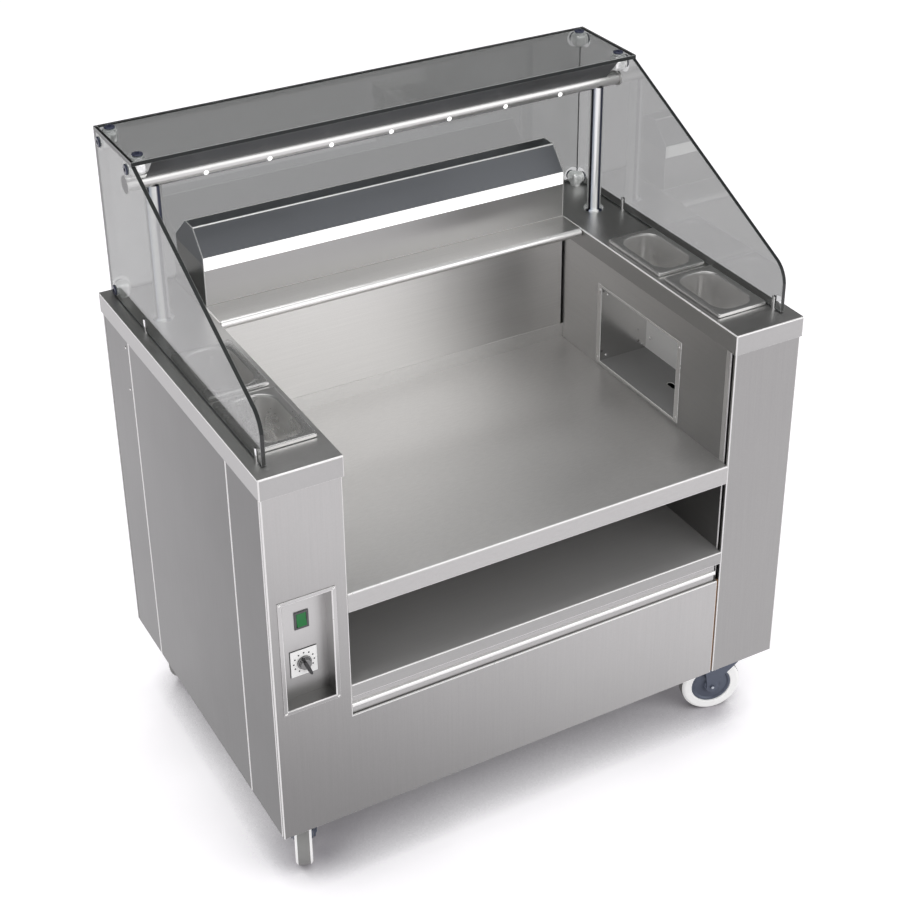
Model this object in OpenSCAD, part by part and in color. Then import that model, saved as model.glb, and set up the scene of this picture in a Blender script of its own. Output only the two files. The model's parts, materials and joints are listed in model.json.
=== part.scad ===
// Mobile cooking station: two side towers, a sunk worktop with a shelf under it,
// a hood with a light strip at the back, a glass guard and four casters.
// The origin is on the floor under the middle. The cook stands on the -Y side.

/* [Body] */
// Width over the outer side panels
body_w = 1086; // [1000:1:1300]
// Depth from the front sheets to the back panel
body_d = 740; // [700:1:840]
// Height of the tower tops above the floor
counter_z = 925; // [900:1:960]
// Width of one tower, outer side to bay side
tower_w = 146; // [142:1:170]
// Thickness of the folded steel sheet
sheet = 1.5; // [1:0.1:2]
// Depth of the folded edge of an outer panel
fold = 6; // [5:0.5:8]
// Gap between two neighbouring panels
panel_gap = 2; // [1:0.5:4]
// Depth of the front side panel
side_front_d = 135; // [100:1:200]
// Depth of the rear side panel
side_rear_d = 128; // [100:1:200]

/* [Base] */
// Width of the base channel's flanges
channel_w = 30; // [25:1:40]
// Height of the base channel
channel_h = 34; // [28:1:40]
// Thickness of the base channel
channel_t = 2; // [1.5:0.1:3]
// Thickness of the corner plates that carry the casters
gusset_t = 4; // [3:0.5:6]

/* [Tower caps] */
// Distance that a cap stands out past the panels under it
cap_lip = 3; // [2.5:0.5:4]
// Height of the folded skirt round a cap
cap_skirt = 40; // [30:1:50]

/* [Worktop, shelf and sill] */
// Depth of the service space behind the rear wall
service_d = 156; // [150:1:200]
// Height of the worktop surface
worktop_z = 645; // [620:1:670]
// Height of the worktop's front lip
worktop_lip = 40; // [30:1:50]
// Height of the upstand at the back of the worktop
upstand_h = 32; // [20:1:40]
// Height of the shelf surface
shelf_z = 448; // [430:1:470]
// Height of the shelf's front lip
shelf_lip = 28; // [20:1:34]
// Depth of the fold under the front lips
lip_fold = 14; // [12:1:20]
// Height of the top edge of the lower front cover
apron_z = 381; // [360:1:390]
// Distance from the front sheets back to the inner walls
wall_set = 14; // [11:1:20]
// Width of the folded front edge of the inner walls
wall_fold = 9; // [7:0.5:12]
// Gap over and under the bright roll between shelf and lower cover
roll_gap = 1.5; // [1:0.5:5]
// Height of the sill surface above the tower tops
sill_rise = 2; // [1.5:0.5:3]
// Distance that the sill overhangs the rear wall
sill_reach = 74; // [60:1:90]
// Radius of the sill's rounded front edge
nosing_r = 9; // [7:0.5:12]
// Depth of the fold under the sill's rounded edge
nosing_fold = 20; // [15:1:30]
// Height of the skirt at the back of the sill
sill_skirt = 40; // [30:1:50]

/* [Hood] */
// Height of the plain plate under the light strip
hood_plate_h = 73; // [60:1:90]
// Height of the light strip
strip_h = 26; // [20:1:32]
// Depth that the front slope covers
front_slope_d = 42; // [30:1:50]
// Height that the front slope climbs
front_slope_h = 46; // [30:1:60]
// Depth of the flat top of the hood
hood_top_d = 36; // [25:1:45]
// Depth that the rear slope covers
rear_slope_d = 56; // [40:1:58]
// Height that the rear slope drops
rear_slope_h = 49; // [30:1:60]
// Width of the flanges on which the hood stands
hood_flange = 15; // [10:1:20]
// Thickness of the opal cover of the light strip
diffuser_t = 3; // [2:0.5:4]

/* [Glass guard] */
// Thickness of the glass
glass_t = 8; // [6:1:10]
// Distance of the side panes' middle planes from the outer side panels
glass_set = 23; // [20:0.5:30]
// Height of the guard's upper face above the tower tops
guard_h = 339; // [320:1:400]
// Depth of the top pane
top_pane_d = 194; // [180:1:210]
// Distance of the rear pane's back face from the body's back
glass_back = 10; // [8:1:20]
// Distance of the side panes' front edges from the body's front
glass_front = 30; // [20:1:50]
// Height of the bend at the front of a side pane
knee_h = 86; // [60:1:110]
// Radius of that bend
knee_r = 50; // [30:1:70]
// Edge of one corner connector
connector_a = 30; // [26:1:32]
// Diameter of the caps on the connector screws
connector_cap_d = 21; // [14:1:22]
// Diameter of the connector screws
connector_screw_d = 8; // [6:0.5:9]
// Diameter of a glass pin
pin_d = 12; // [11:0.5:14]
// Height of a glass pin
pin_h = 26; // [20:1:40]
// Distance of the rear pins from the body's back
pin_rear_set = 188; // [180:1:200]
// Distance of the front pins from the body's front
pin_front_set = 52; // [45:1:60]

/* [Light tube and posts] */
// Diameter of the posts and of the light tube
post_d = 28; // [24:1:32]
// Wall of the posts and of the light tube
post_wall = 2; // [1.5:0.1:3]
// Distance of the posts' middles from the bay side of the towers
post_in = 72; // [60:1:76]
// Distance of the posts' middles from the body's back
post_set = 153; // [145:1:160]
// Diameter of the ring at a post's foot
post_ring_d = 41; // [38:1:46]
// Height of that ring
post_ring_h = 4; // [3:0.5:6]
// Height of the light tube's axis above the tower tops
light_h = 278; // [260:1:280]
// Number of light spots in the tube
spots = 7; // [3:1:9]
// Distance of the end spots from the towers
spot_set = 23.5; // [10:0.5:60]
// Diameter of a spot's lens
spot_d = 9; // [7:0.5:11]
// Angle of the spots under the horizon
spot_tilt = 20; // [0:5:45]

/* [Containers] */
// Length of a container's rim
gn_l = 176; // [176:1:180]
// Width of a container's rim
gn_w = 108; // [104:1:110]
// Width of the flat rim round the opening
gn_rim = 13; // [12:0.5:14]
// Height of the raised rim
gn_rim_h = 8; // [6:0.5:10]
// Corner radius of the opening
gn_r = 32; // [20:1:38]
// Depth of a container under the tower top
gn_depth = 90; // [60:1:92]
// Sheet of a container
gn_t = 1; // [0.8:0.1:1.2]
// Distance of the containers from a cap's bay side edge
gn_set = 12; // [11:0.5:13]
// Distance of the front container's middle from the body's front
gn_front_set = 157; // [154:1:159]
// Distance between two containers in a tower
gn_pitch = 192; // [190:1:194]

/* [Control recess] */
// Width of the recess opening
recess_w = 92; // [86:1:94]
// Height of the recess opening
recess_h = 224; // [200:1:230]
// Depth of the recess
recess_d = 28; // [24:1:34]
// Width of the frame round the recess
recess_rim = 8; // [6:1:9]
// Distance of the recess's middle from the outer side panel
recess_in = 70; // [68:1:72]
// Height of the recess's middle
recess_z = 553; // [540:1:570]
// Height of the rocker switch above the middle of the recess
switch_up = 50; // [45:1:60]
// Width of the rocker
rocker_w = 18; // [16:0.5:20]
// Height of the rocker
rocker_h = 25.6; // [22:0.2:28]
// Half of the rocker's swing
rocker_swing = 7; // [5:0.5:8]
// Depth of the dial's middle under the middle of the recess
dial_down = 40; // [35:1:50]
// Width of the dial plate
dial_w = 50; // [46:1:56]
// Height of the dial plate
dial_h = 54; // [48:1:58]
// Diameter of the knob
knob_d = 27; // [22:1:30]
// Height of the knob
knob_h = 16; // [12:1:18]
// Reach of the knob's handle
handle_l = 22; // [18:1:24]
// Direction of the handle, from the +X side
handle_turn = -68; // [-90:1:-45]

/* [Niche] */
// Width of the niche opening
niche_w = 261; // [220:1:280]
// Height of the niche opening
niche_h = 169; // [150:1:172]
// Depth of the niche behind the wall
niche_d = 113; // [90:1:120]
// Width of the frame beside the opening
niche_rim = 14; // [10:1:16]
// Height of the frame over and under the opening
niche_bar = 5; // [4:0.5:6]
// Distance of the niche's middle from the body's front
niche_set = 307.5; // [290:0.5:320]
// Height of the niche frame above the worktop
niche_up = 7; // [4:1:8]

/* [Casters] */
// Diameter of a wheel
wheel_d = 125; // [120:1:125]
// Width of a tyre
wheel_w = 32; // [28:1:34]
// Overall height of a caster
caster_h = 155; // [155:1:165]
// Distance between swivel axis and axle
trail = 38; // [34:1:42]
// Distance of the swivel axes from the outer side panels
caster_side_set = 60; // [57:1:68]
// Distance of the swivel axes from the body's front and back
caster_end_set = 59; // [50:1:60]
// Width of a caster's top plate
caster_plate_w = 100; // [94:1:100]
// Length of a caster's top plate
caster_plate_l = 85; // [80:1:86]
// Direction in which the front left caster trails, from the +X side
turn_front_left = 67; // [0:1:359]
// Direction in which the front right caster trails
turn_front_right = 163; // [0:1:359]
// Direction in which the rear left caster trails
turn_rear_left = 40; // [0:1:359]
// Direction in which the rear right caster trails
turn_rear_right = 240; // [0:1:359]
// Diameter of the axles
axle_d = 10; // [8:0.5:12]
// Reach of the brake pedals from the swivel axis
pedal_reach = 112; // [105:1:118]

/* [Hidden] */
$fn = 48;
// Overrun of a cut past the face it opens
eps = 1;
// Clearance of a moving piece over its seat
seat_gap = 0.3;
// Radial clearance of a shaft in its hole
fit_gap = 0.05;
// Clearance round a loose screw or bush
hole_gap = 0.2;
// Clearance of a pane in the slot of a pin
slot_gap = 0.1;
// Clearance of a pressed tray or housing in its cut-out
cut_gap = 0.5;

// Places that follow from the body's sizes
body_x = body_w / 2;
body_y = body_d / 2;
bay_d = body_d - service_d;
bay_y = body_y - service_d;
wall_x = body_x - tower_w;
wall_y = -body_y + wall_set;
under_cap = counter_z - sheet;
base_z = caster_h;
pan_z = base_z + channel_h;
floor_z = pan_z + sheet;
frame_x = body_x - fold;
frame_y = body_y - fold;

// Outer panels
side_start = -body_y + fold + panel_gap;
side_end = body_y - fold - panel_gap;
cover_end = wall_x - 2 * panel_gap;
cap_x = [wall_x - cap_lip, body_x + cap_lip];
cap_y = body_y + cap_lip;

// Distance from the rear wall's sides to the inner walls
rear_gap = 4;
// Distance from the sill's ends to the tower caps
sill_gap = 2.5;
sill_x = wall_x - cap_lip - sill_gap;
sill_z = counter_z + sill_rise;
sill_y = bay_y - sill_reach;

// Distance from the right end of the roll to the inner wall
roll_stop = 10;
// Depth of the channel's flanges behind the roll
roll_back = 8;
roll_low = apron_z;
roll_high = shelf_z - shelf_lip;
roll_r = (roll_high - roll_low) / 2 - roll_gap;

// Distance of the hood's face in front of the rear wall
hood_set = 2;
hood_x = sill_x - sheet;
hood_y = bay_y - hood_set;
hood_front_z = sill_z + hood_plate_h + strip_h;
hood_top_z = hood_front_z + front_slope_h;
hood_deep = front_slope_d + hood_top_d + rear_slope_d;
// Hood outline in Y and Z, anticlockwise from its front foot
hood_outline = [
    [hood_y, sill_z],
    [hood_y + hood_deep, sill_z],
    [hood_y + hood_deep, hood_top_z - rear_slope_h],
    [hood_y + front_slope_d + hood_top_d, hood_top_z],
    [hood_y + front_slope_d, hood_top_z],
    [hood_y, hood_front_z]
];
// Overlap of the opal cover behind the sheet under it
diffuser_tail = 6;
// Section of the lamp behind the opal cover
lamp_h = 16;
lamp_d = 12;
// Distance from the lamp's ends to the hood's ends
lamp_stop = 18;

// Glass guard
glass_x = body_x - glass_set;
glass_in = glass_x - glass_t / 2;
glass_out = glass_x + glass_t / 2;
glass_top_z = counter_z + guard_h;
pane_z = glass_top_z - glass_t;
glass_foot_z = counter_z + sill_rise;
glass_back_y = body_y - glass_back;
glass_front_y = -body_y + glass_front;
top_front_y = glass_back_y - top_pane_d;
knee_z = counter_z + knee_h;
pin_places = [-body_y + pin_front_set, body_y - pin_rear_set];
// Height of the caps on the connector screws
connector_cap_h = 3;
// Distance of the front connectors from the top pane's front edge
connector_set = 14;
connector_x = glass_in - connector_a / 2;
connector_front_y = top_front_y + connector_set + connector_a / 2;
connector_rear_y = glass_back_y - glass_t - connector_a / 2;
connector_low_z = counter_z + connector_a / 2;
connector_high_z = pane_z - connector_a / 2;
// Connectors on the +X side: depth, height, joins the top pane, joins the rear pane
connector_places = [
    [connector_front_y, connector_high_z, true, false],
    [connector_rear_y, connector_high_z, true, true],
    [connector_rear_y, connector_low_z, false, true]
];

// Posts and light tube
post_x = wall_x + post_in;
post_y = body_y - post_set;
light_z = counter_z + light_h;
// Ring at each end of the light tube
tube_ring_d = 34;
tube_ring_l = 3;
spot_pitch = 2 * (wall_x - spot_set) / (spots - 1);
// Length of a light spot inside the tube and in front of it
spot_depth = 8;
spot_proud = 0.8;
// Shade from the light tube up to the front edge of the top pane
shade_in = 4;
shade_gap = 2;
shade_x = glass_in - connector_a - shade_gap;
shade_run = top_front_y + shade_in - post_y;
shade_rise = pane_z - light_z;
shade_l = norm([shade_run, shade_rise]) - sheet - post_d / 2 - fit_gap;

// Containers
gn_x = wall_x - cap_lip + gn_set + gn_w / 2;
gn_front_y = -body_y + gn_front_set;
gn_open_l = gn_l - 2 * gn_rim;
gn_open_w = gn_w - 2 * gn_rim;
// Corner radius of a container's rim
gn_edge_r = 3;
// Gap between a container and the edge of its hole
gn_hole_gap = 2;
gn_hole_l = gn_open_l + 2 * gn_t + 2 * gn_hole_gap;
gn_hole_w = gn_open_w + 2 * gn_t + 2 * gn_hole_gap;

// Control recess
recess_x = body_x - recess_in;
recess_back_y = -body_y + recess_d;
tray_w = recess_w + 2 * sheet + 2 * cut_gap;
tray_h = recess_h + 2 * sheet + 2 * cut_gap;
screw_d = 6;
screw_h = 1.5;
switch_z = recess_z + switch_up;
// Clearances beside the rocker, and over and under it
rocker_gap = 0.4;
rocker_clear_h = 1.2;
// Frame of the switch on the plate
bezel_rim = 4;
bezel_h = 2;
// Housing of the switch behind the plate
housing_wall = 1.4;
housing_d = 22;
cavity_d = 14;
cavity_w = rocker_w + 2 * rocker_gap;
cavity_h = rocker_h + 2 * rocker_clear_h;
housing_w = cavity_w + 2 * housing_wall;
housing_h = cavity_h + 2 * housing_wall;
pivot_depth = 4;
pivot_d = 3;
// Outline of the rocker: its wings, its waist and its keel
wing_out = 3;
waist_out = 1.2;
keel_in = 10;
dial_z = recess_z - dial_down;
dial_t = 1.5;
// Bush and spindle of the rotary switch, and its body
bush_d = 10;
bush_h = 4;
spindle_d = 6;
spindle_l = 26;
rotary_a = 40;
rotary_d = 24;
// Clearances of the knob over the dial plate and round the bush
knob_gap = 0.6;
knob_bush_gap = 0.6;
handle_w = 7;
handle_h = 5;

// Pieces inside the body
control_box_size = [60, 140, 130];
// Distance of the control box behind the back of the recess
control_box_set = 60;
driver_size = [180, 30, 40];
// Distance of the lamp driver under the tower tops
driver_down = 165;
driver_z = counter_z - driver_down;
// Distances of the cable gland from the outer side panel and from the body's back
gland_set = [243, 70];
gland_place = [gland_set[0] - body_x, body_y - gland_set[1]];
gland_bore_d = 13;
gland_d = 20;
gland_nut_d = 27;
gland_nut_h = 7;
gland_tail = 14;

// Niche
niche_y = -body_y + niche_set;
niche_mid_z = worktop_z + niche_up + niche_bar + niche_h / 2;
slot_l = 26;
slot_w = 12;
// Cable slot: distance from the niche's middle towards the cook, and from the wall
slot_place = [-27, 70];

// Screws in the rear side panels: distance behind the seam, and under the tower tops
side_screw_set = 16;
side_screw_down = [151, 61];

// Parts of a caster, seen with the swivel axis at zero and the wheel towards +X
caster_x = body_x - caster_side_set;
caster_y = body_y - caster_end_set;
wheel_r = wheel_d / 2;
plate_t = 4;
race_r = 30;
race_h = 6;
crown_t = 5;
crown_z = caster_h - plate_t - race_h - seat_gap;
crown_under = crown_z - crown_t;
kingpin_r = 6;
kingpin_head_r = 10;
kingpin_head_h = 3;
hub_l = 38;
hub_gap = 0.5;
leg_t = 4;
leg_in = hub_l / 2 + hub_gap;
leg_out = leg_in + leg_t;
// Outline of a fork leg: front and rear ends, shoulder and boss
leg_front = -22;
leg_rear = 60;
leg_shoulder = 11;
boss_r = 13;
axle_head_r = 8;
axle_head_h = 3;
bolt_head_r = 6.5;
bolt_head_h = 3;
bolt_set = 10;
// Section of the wheel
hub_r = 42;
hub_core_r = 16;
hub_dish = 2;
hub_half = 13;
hub_rim = 5;
tyre_round = 8;
// Brake pedal: place of its pin, then its own sizes
pedal_x = 52;
pedal_down = 23;
pedal_z = caster_h - pedal_down;
pedal_hub_r = 6.5;
pedal_pin_r = 2.5;
pedal_t = 4;
pedal_neck = 11;
pedal_side_gap = 1;
pedal_w = 46;

// Small helpers

// A block between two limits on each axis
module slab(x, y, z) {
    translate([x[0], y[0], z[0]]) cube([x[1] - x[0], y[1] - y[0], z[1] - z[0]]);
}

// A flat outline in Y and Z, carried along X between two limits
module along_x(x) {
    translate([x[0], 0, 0]) rotate([90, 0, 90]) linear_extrude(x[1] - x[0]) children();
}

// A rectangle with round corners, centred
module round_rect(l, w, r) {
    square([l, w - 2 * r], center = true);
    square([l - 2 * r, w], center = true);
    for (i = [-1, 1], j = [-1, 1]) translate([i * (l / 2 - r), j * (w / 2 - r)]) circle(r);
}

module on_left() {
    mirror([1, 0, 0]) children();
}

module both_sides() {
    children();
    on_left() children();
}

function unit(v) = v / norm(v);

// The same outline drawn in by t, for points that run anticlockwise
function inset(p, t) = [
    for (i = [0 : len(p) - 1])
        let (
            before = unit(p[i] - p[(i + len(p) - 1) % len(p)]),
            after = unit(p[(i + 1) % len(p)] - p[i]),
            n = [-before[1], before[0]],
            m = [-after[1], after[0]]
        )
        p[i] + (n + m) * t / (1 + n * m)
];

// Base

module corner_plates() {
    for (i = [-1, 1], j = [-1, 1])
        translate([i * caster_x, j * caster_y, 0])
            slab([-caster_plate_w / 2, caster_plate_w / 2], [-caster_plate_l / 2, caster_plate_l / 2],
                [base_z, base_z + gusset_t]);
}

module base_frame() {
    color("gainsboro") {
        difference() {
            slab([-frame_x, frame_x], [-frame_y, frame_y], [base_z, pan_z]);
            slab([-frame_x + channel_w, frame_x - channel_w], [-frame_y + channel_w, frame_y - channel_w],
                [base_z - eps, pan_z + eps]);
            slab([-frame_x + channel_t, frame_x - channel_t], [-frame_y + channel_t, frame_y - channel_t],
                [base_z + channel_t, pan_z - channel_t]);
        }
        corner_plates();
    }
}

module base_pan() {
    color("silver") difference() {
        slab([-frame_x, frame_x], [-frame_y, frame_y], [pan_z, floor_z]);
        translate([gland_place[0], gland_place[1], pan_z - eps])
            cylinder(h = sheet + 2 * eps, r = gland_d / 2 + fit_gap);
    }
}

// Outer panels

// A panel on the +X side between two depths, with a fold along each upright edge
module side_panel(y) {
    slab([body_x - sheet, body_x], y, [base_z, under_cap]);
    slab([body_x - fold, body_x], [y[0], y[0] + sheet], [base_z, under_cap]);
    slab([body_x - fold, body_x], [y[1] - sheet, y[1]], [base_z, under_cap]);
}

module side_front_panel() {
    color("darkgray") side_panel([side_start, side_start + side_front_d]);
}

module side_middle_panel() {
    color("darkgray")
        side_panel([side_start + side_front_d + panel_gap, side_end - side_rear_d - panel_gap]);
}

module side_rear_panel() {
    color("darkgray") side_panel([side_end - side_rear_d, side_end]);
}

module left_side_front() { on_left() side_front_panel(); }
module left_side_middle() { on_left() side_middle_panel(); }
module left_side_rear() { on_left() side_rear_panel(); }
module right_side_front() { side_front_panel(); }
module right_side_middle() { side_middle_panel(); }
module right_side_rear() { side_rear_panel(); }

// A front sheet between two limits across and in height, with folds along chosen edges
module front_sheet(x, z, left = true, right = true, top = false) {
    y = [-body_y, -body_y + sheet];
    deep = [-body_y, -body_y + fold];
    slab(x, y, z);
    if (left) slab([x[0], x[0] + sheet], deep, z);
    if (right) slab([x[1] - sheet, x[1]], deep, z);
    if (top) slab(x, deep, [z[1] - sheet, z[1]]);
}

module front_cover() {
    color("lightgray") difference() {
        union() {
            front_sheet([-body_x, -wall_x], [base_z, under_cap], right = false);
            front_sheet([-wall_x - sheet, -wall_x], [apron_z - sheet, under_cap], left = false);
            front_sheet([-wall_x - sheet, cover_end], [base_z, apron_z], left = false, top = true);
        }
        translate([-recess_x, -body_y, recess_z]) cube([tray_w, 2 * fold + eps, tray_h], center = true);
    }
}

module right_front_panel() {
    color("lightgray") front_sheet([wall_x, body_x], [base_z, under_cap]);
}

// The bay side skirts of the tower caps pass through slots in the back panel's top edge
module back_panel() {
    color("lightgray") difference() {
        mirror([0, 1, 0]) front_sheet([-body_x, body_x], [base_z, under_cap]);
        both_sides() slab([cap_x[0] - cut_gap, cap_x[0] + sheet + cut_gap],
            [body_y - sheet - eps, body_y + eps], [counter_z - cap_skirt - cut_gap, counter_z]);
    }
}

// Inner walls and tower caps

module inner_wall() {
    slab([wall_x, wall_x + sheet], [wall_y, body_y - sheet], [floor_z, under_cap]);
    slab([wall_x, wall_x + wall_fold], [wall_y, wall_y + sheet], [floor_z, under_cap]);
}

module left_inner_wall() {
    color("silver") on_left() inner_wall();
}

module right_inner_wall() {
    color("silver") difference() {
        inner_wall();
        translate([wall_x, niche_y, niche_mid_z])
            cube([2 * wall_fold, niche_w + 2 * sheet + 2 * cut_gap, niche_h + 2 * sheet + 2 * cut_gap],
                center = true);
    }
}

module cap() {
    color("darkgray") difference() {
        slab(cap_x, [-cap_y, cap_y], [counter_z - cap_skirt, counter_z]);
        slab([cap_x[0] + sheet, cap_x[1] - sheet], [-cap_y + sheet, cap_y - sheet],
            [counter_z - cap_skirt - eps, under_cap]);
        for (i = [0, 1])
            translate([gn_x, gn_front_y + i * gn_pitch, under_cap - eps])
                linear_extrude(sheet + 2 * eps) square([gn_hole_w, gn_hole_l], center = true);
    }
}

module right_cap() { cap(); }
module left_cap() { on_left() cap(); }

// Worktop, rear wall, shelf, roll and sill

module worktop() {
    color("silver") along_x([-wall_x, wall_x]) {
        translate([-body_y, worktop_z - sheet]) square([bay_d, sheet]);
        translate([-body_y, worktop_z - worktop_lip]) square([sheet, worktop_lip]);
        translate([-body_y, worktop_z - worktop_lip]) square([lip_fold, sheet]);
        translate([bay_y - sheet, worktop_z - sheet]) square([sheet, upstand_h + sheet]);
    }
}

module rear_wall() {
    x = wall_x - rear_gap;
    color("silver") {
        slab([-x, x], [bay_y, bay_y + sheet], [floor_z, sill_z - sheet]);
        both_sides() slab([x - sheet, x], [bay_y, bay_y + 2 * fold], [floor_z, sill_z - sheet]);
    }
}

module shelf() {
    color("dimgray") along_x([-wall_x, wall_x]) {
        translate([-body_y, shelf_z - sheet]) square([bay_d, sheet]);
        translate([-body_y, shelf_z - shelf_lip]) square([sheet, shelf_lip]);
        translate([-body_y, shelf_z - shelf_lip]) square([lip_fold, sheet]);
    }
}

// A channel in the groove between shelf and lower cover, with a round bead along its middle
module front_trim() {
    front = -body_y + fold / 2;
    back = front + roll_r;
    color("whitesmoke") along_x([-wall_x, wall_x - roll_stop]) {
        translate([back, roll_low]) square([sheet, roll_high - roll_low]);
        translate([back, roll_low]) square([roll_back, sheet]);
        translate([back, roll_high - sheet]) square([roll_back, sheet]);
        intersection() {
            translate([back, (roll_low + roll_high) / 2]) circle(roll_r);
            translate([front, roll_low]) square([roll_r + sheet / 2, roll_high - roll_low]);
        }
    }
}

// The sill's rounded front edge is one bent sheet, with its fold returning underneath
module sill() {
    flat = body_y + sheet - sill_y - nosing_r;
    color("silver") along_x([-sill_x, sill_x]) {
        translate([sill_y + nosing_r, sill_z - nosing_r]) difference() {
            union() {
                circle(nosing_r);
                translate([0, -nosing_r]) square([flat, 2 * nosing_r]);
            }
            circle(nosing_r - sheet);
            translate([0, sheet - nosing_r]) square([flat + eps, 2 * (nosing_r - sheet)]);
            translate([nosing_fold, -nosing_r - eps]) square([flat, nosing_r + eps]);
        }
        translate([body_y, sill_z - sill_skirt]) square([sheet, sill_skirt]);
    }
}

// Hood

module hood_shell() {
    foot = [hood_y + hood_flange, hood_y + hood_deep - hood_flange];
    color("slategray") along_x([-hood_x, hood_x]) difference() {
        polygon(hood_outline);
        polygon(inset(hood_outline, sheet));
        translate([foot[0], sill_z - eps]) square([foot[1] - foot[0], sheet + 2 * eps]);
        translate([hood_y - eps, sill_z + hood_plate_h]) square([sheet + 2 * eps, strip_h]);
    }
}

module hood_ends() {
    color("slategray") both_sides() along_x([hood_x, hood_x + sheet]) polygon(hood_outline);
}

module light_diffuser() {
    low = sill_z + hood_plate_h;
    color("white") along_x([-hood_x + seat_gap, hood_x - seat_gap]) {
        translate([hood_y, low]) square([sheet, strip_h - sheet]);
        translate([hood_y + sheet, low - diffuser_tail])
            square([diffuser_t, strip_h - sheet + diffuser_tail]);
    }
}

module strip_lamp() {
    low = sill_z + hood_plate_h + (strip_h - lamp_h) / 2 - sheet;
    color("khaki")
        slab([-hood_x + lamp_stop, hood_x - lamp_stop],
            [hood_y + sheet + diffuser_t, hood_y + sheet + diffuser_t + lamp_d], [low, low + lamp_h]);
}

// Glass guard

function knee_points(n = 10) =
    let (
        knee = [glass_front_y, knee_z],
        slope = unit([top_front_y, pane_z] - knee),
        turn = acos(slope[1]),
        reach = knee_r * tan(turn / 2),
        centre = knee + [knee_r, -reach]
    )
    [for (i = [0 : n]) centre + knee_r * [-cos(turn * i / n), sin(turn * i / n)]];

module side_glass() {
    outline = concat(
        [[glass_front_y, glass_foot_z]],
        knee_points(),
        [[top_front_y, pane_z], [glass_back_y, pane_z], [glass_back_y, glass_foot_z]]
    );
    color("lightcyan", 0.35) difference() {
        along_x([glass_in, glass_out]) polygon(outline);
        for (p = connector_places)
            translate([glass_in - eps, p[0], p[1]]) rotate([0, 90, 0])
                cylinder(h = glass_t + 2 * eps, r = connector_screw_d / 2 + hole_gap);
    }
}

module right_glass() { side_glass(); }
module left_glass() { on_left() side_glass(); }

module top_glass() {
    color("lightcyan", 0.35) difference() {
        slab([-glass_out, glass_out], [top_front_y, glass_back_y], [pane_z, glass_top_z]);
        both_sides() for (p = connector_places) if (p[2])
            translate([connector_x, p[0], pane_z - eps])
                cylinder(h = glass_t + 2 * eps, r = connector_screw_d / 2 + hole_gap);
    }
}

module rear_glass() {
    color("lightcyan", 0.35) difference() {
        slab([-glass_in, glass_in], [glass_back_y - glass_t, glass_back_y], [glass_foot_z, pane_z]);
        both_sides() for (p = connector_places) if (p[3])
            translate([connector_x, glass_back_y + eps, p[1]]) rotate([90, 0, 0])
                cylinder(h = glass_t + 2 * eps, r = connector_screw_d / 2 + hole_gap);
    }
}

module glass_connectors() {
    color("gainsboro") both_sides() for (p = connector_places)
        translate([connector_x, p[0], p[1]]) cube(connector_a, center = true);
}

// A screw with a round cap: the cap stands on the pane and the screw passes to the connector
module capped_screw() {
    translate([0, 0, -glass_t]) cylinder(h = glass_t + connector_cap_h, r = connector_screw_d / 2);
    cylinder(h = connector_cap_h, r = connector_cap_d / 2);
}

module connector_caps() {
    color("darkslategray") both_sides() for (p = connector_places) {
        translate([glass_out, p[0], p[1]]) rotate([0, 90, 0]) capped_screw();
        if (p[2]) translate([connector_x, p[0], glass_top_z]) capped_screw();
        if (p[3]) translate([connector_x, glass_back_y, p[1]]) rotate([-90, 0, 0]) capped_screw();
    }
}

module glass_pins() {
    color("gainsboro") both_sides() for (y = pin_places)
        translate([glass_x, y, counter_z]) difference() {
            cylinder(h = pin_h, r = pin_d / 2);
            translate([-glass_t / 2 - slot_gap, -pin_d, sill_rise])
                cube([glass_t + 2 * slot_gap, 2 * pin_d, pin_h]);
        }
}

// Posts and light tube

module posts() {
    color("gainsboro") both_sides() {
        difference() {
            translate([post_x, post_y, counter_z]) cylinder(h = light_h, r = post_d / 2);
            translate([post_x, post_y, counter_z - eps])
                cylinder(h = light_h + 2 * eps, r = post_d / 2 - post_wall);
            translate([post_x - post_d, post_y, light_z]) rotate([0, 90, 0])
                cylinder(h = 2 * post_d, r = post_d / 2 + fit_gap);
        }
        translate([post_x, post_y, counter_z]) difference() {
            cylinder(h = post_ring_h, r = post_ring_d / 2);
            translate([0, 0, -eps]) cylinder(h = post_ring_h + 2 * eps, r = post_d / 2 + fit_gap);
        }
    }
}

// Children placed at every spot, with +Z pointing out of the tube
module at_spots() {
    for (i = [0 : spots - 1])
        translate([(i - (spots - 1) / 2) * spot_pitch, post_y, light_z])
            rotate([90 + spot_tilt, 0, 0]) children();
}

module light_tube() {
    color("silver") difference() {
        union() {
            translate([-glass_in, post_y, light_z]) rotate([0, 90, 0])
                cylinder(h = 2 * glass_in, r = post_d / 2);
            both_sides() translate([glass_in - tube_ring_l, post_y, light_z]) rotate([0, 90, 0])
                cylinder(h = tube_ring_l, r = tube_ring_d / 2);
        }
        translate([-glass_in + tube_ring_l, post_y, light_z]) rotate([0, 90, 0])
            cylinder(h = 2 * glass_in - 2 * tube_ring_l, r = post_d / 2 - post_wall);
        at_spots() cylinder(h = post_d, r = spot_d / 2 + fit_gap);
    }
}

module light_shade() {
    color("gray") along_x([-shade_x, shade_x]) translate([post_y, light_z])
        rotate(atan2(shade_rise, shade_run)) translate([post_d / 2 + fit_gap, -sheet / 2])
            square([shade_l, sheet]);
}

module led_spots() {
    color("white") at_spots() translate([0, 0, post_d / 2 - spot_depth])
        cylinder(h = spot_depth + spot_proud, r = spot_d / 2);
}

// Containers

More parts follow.
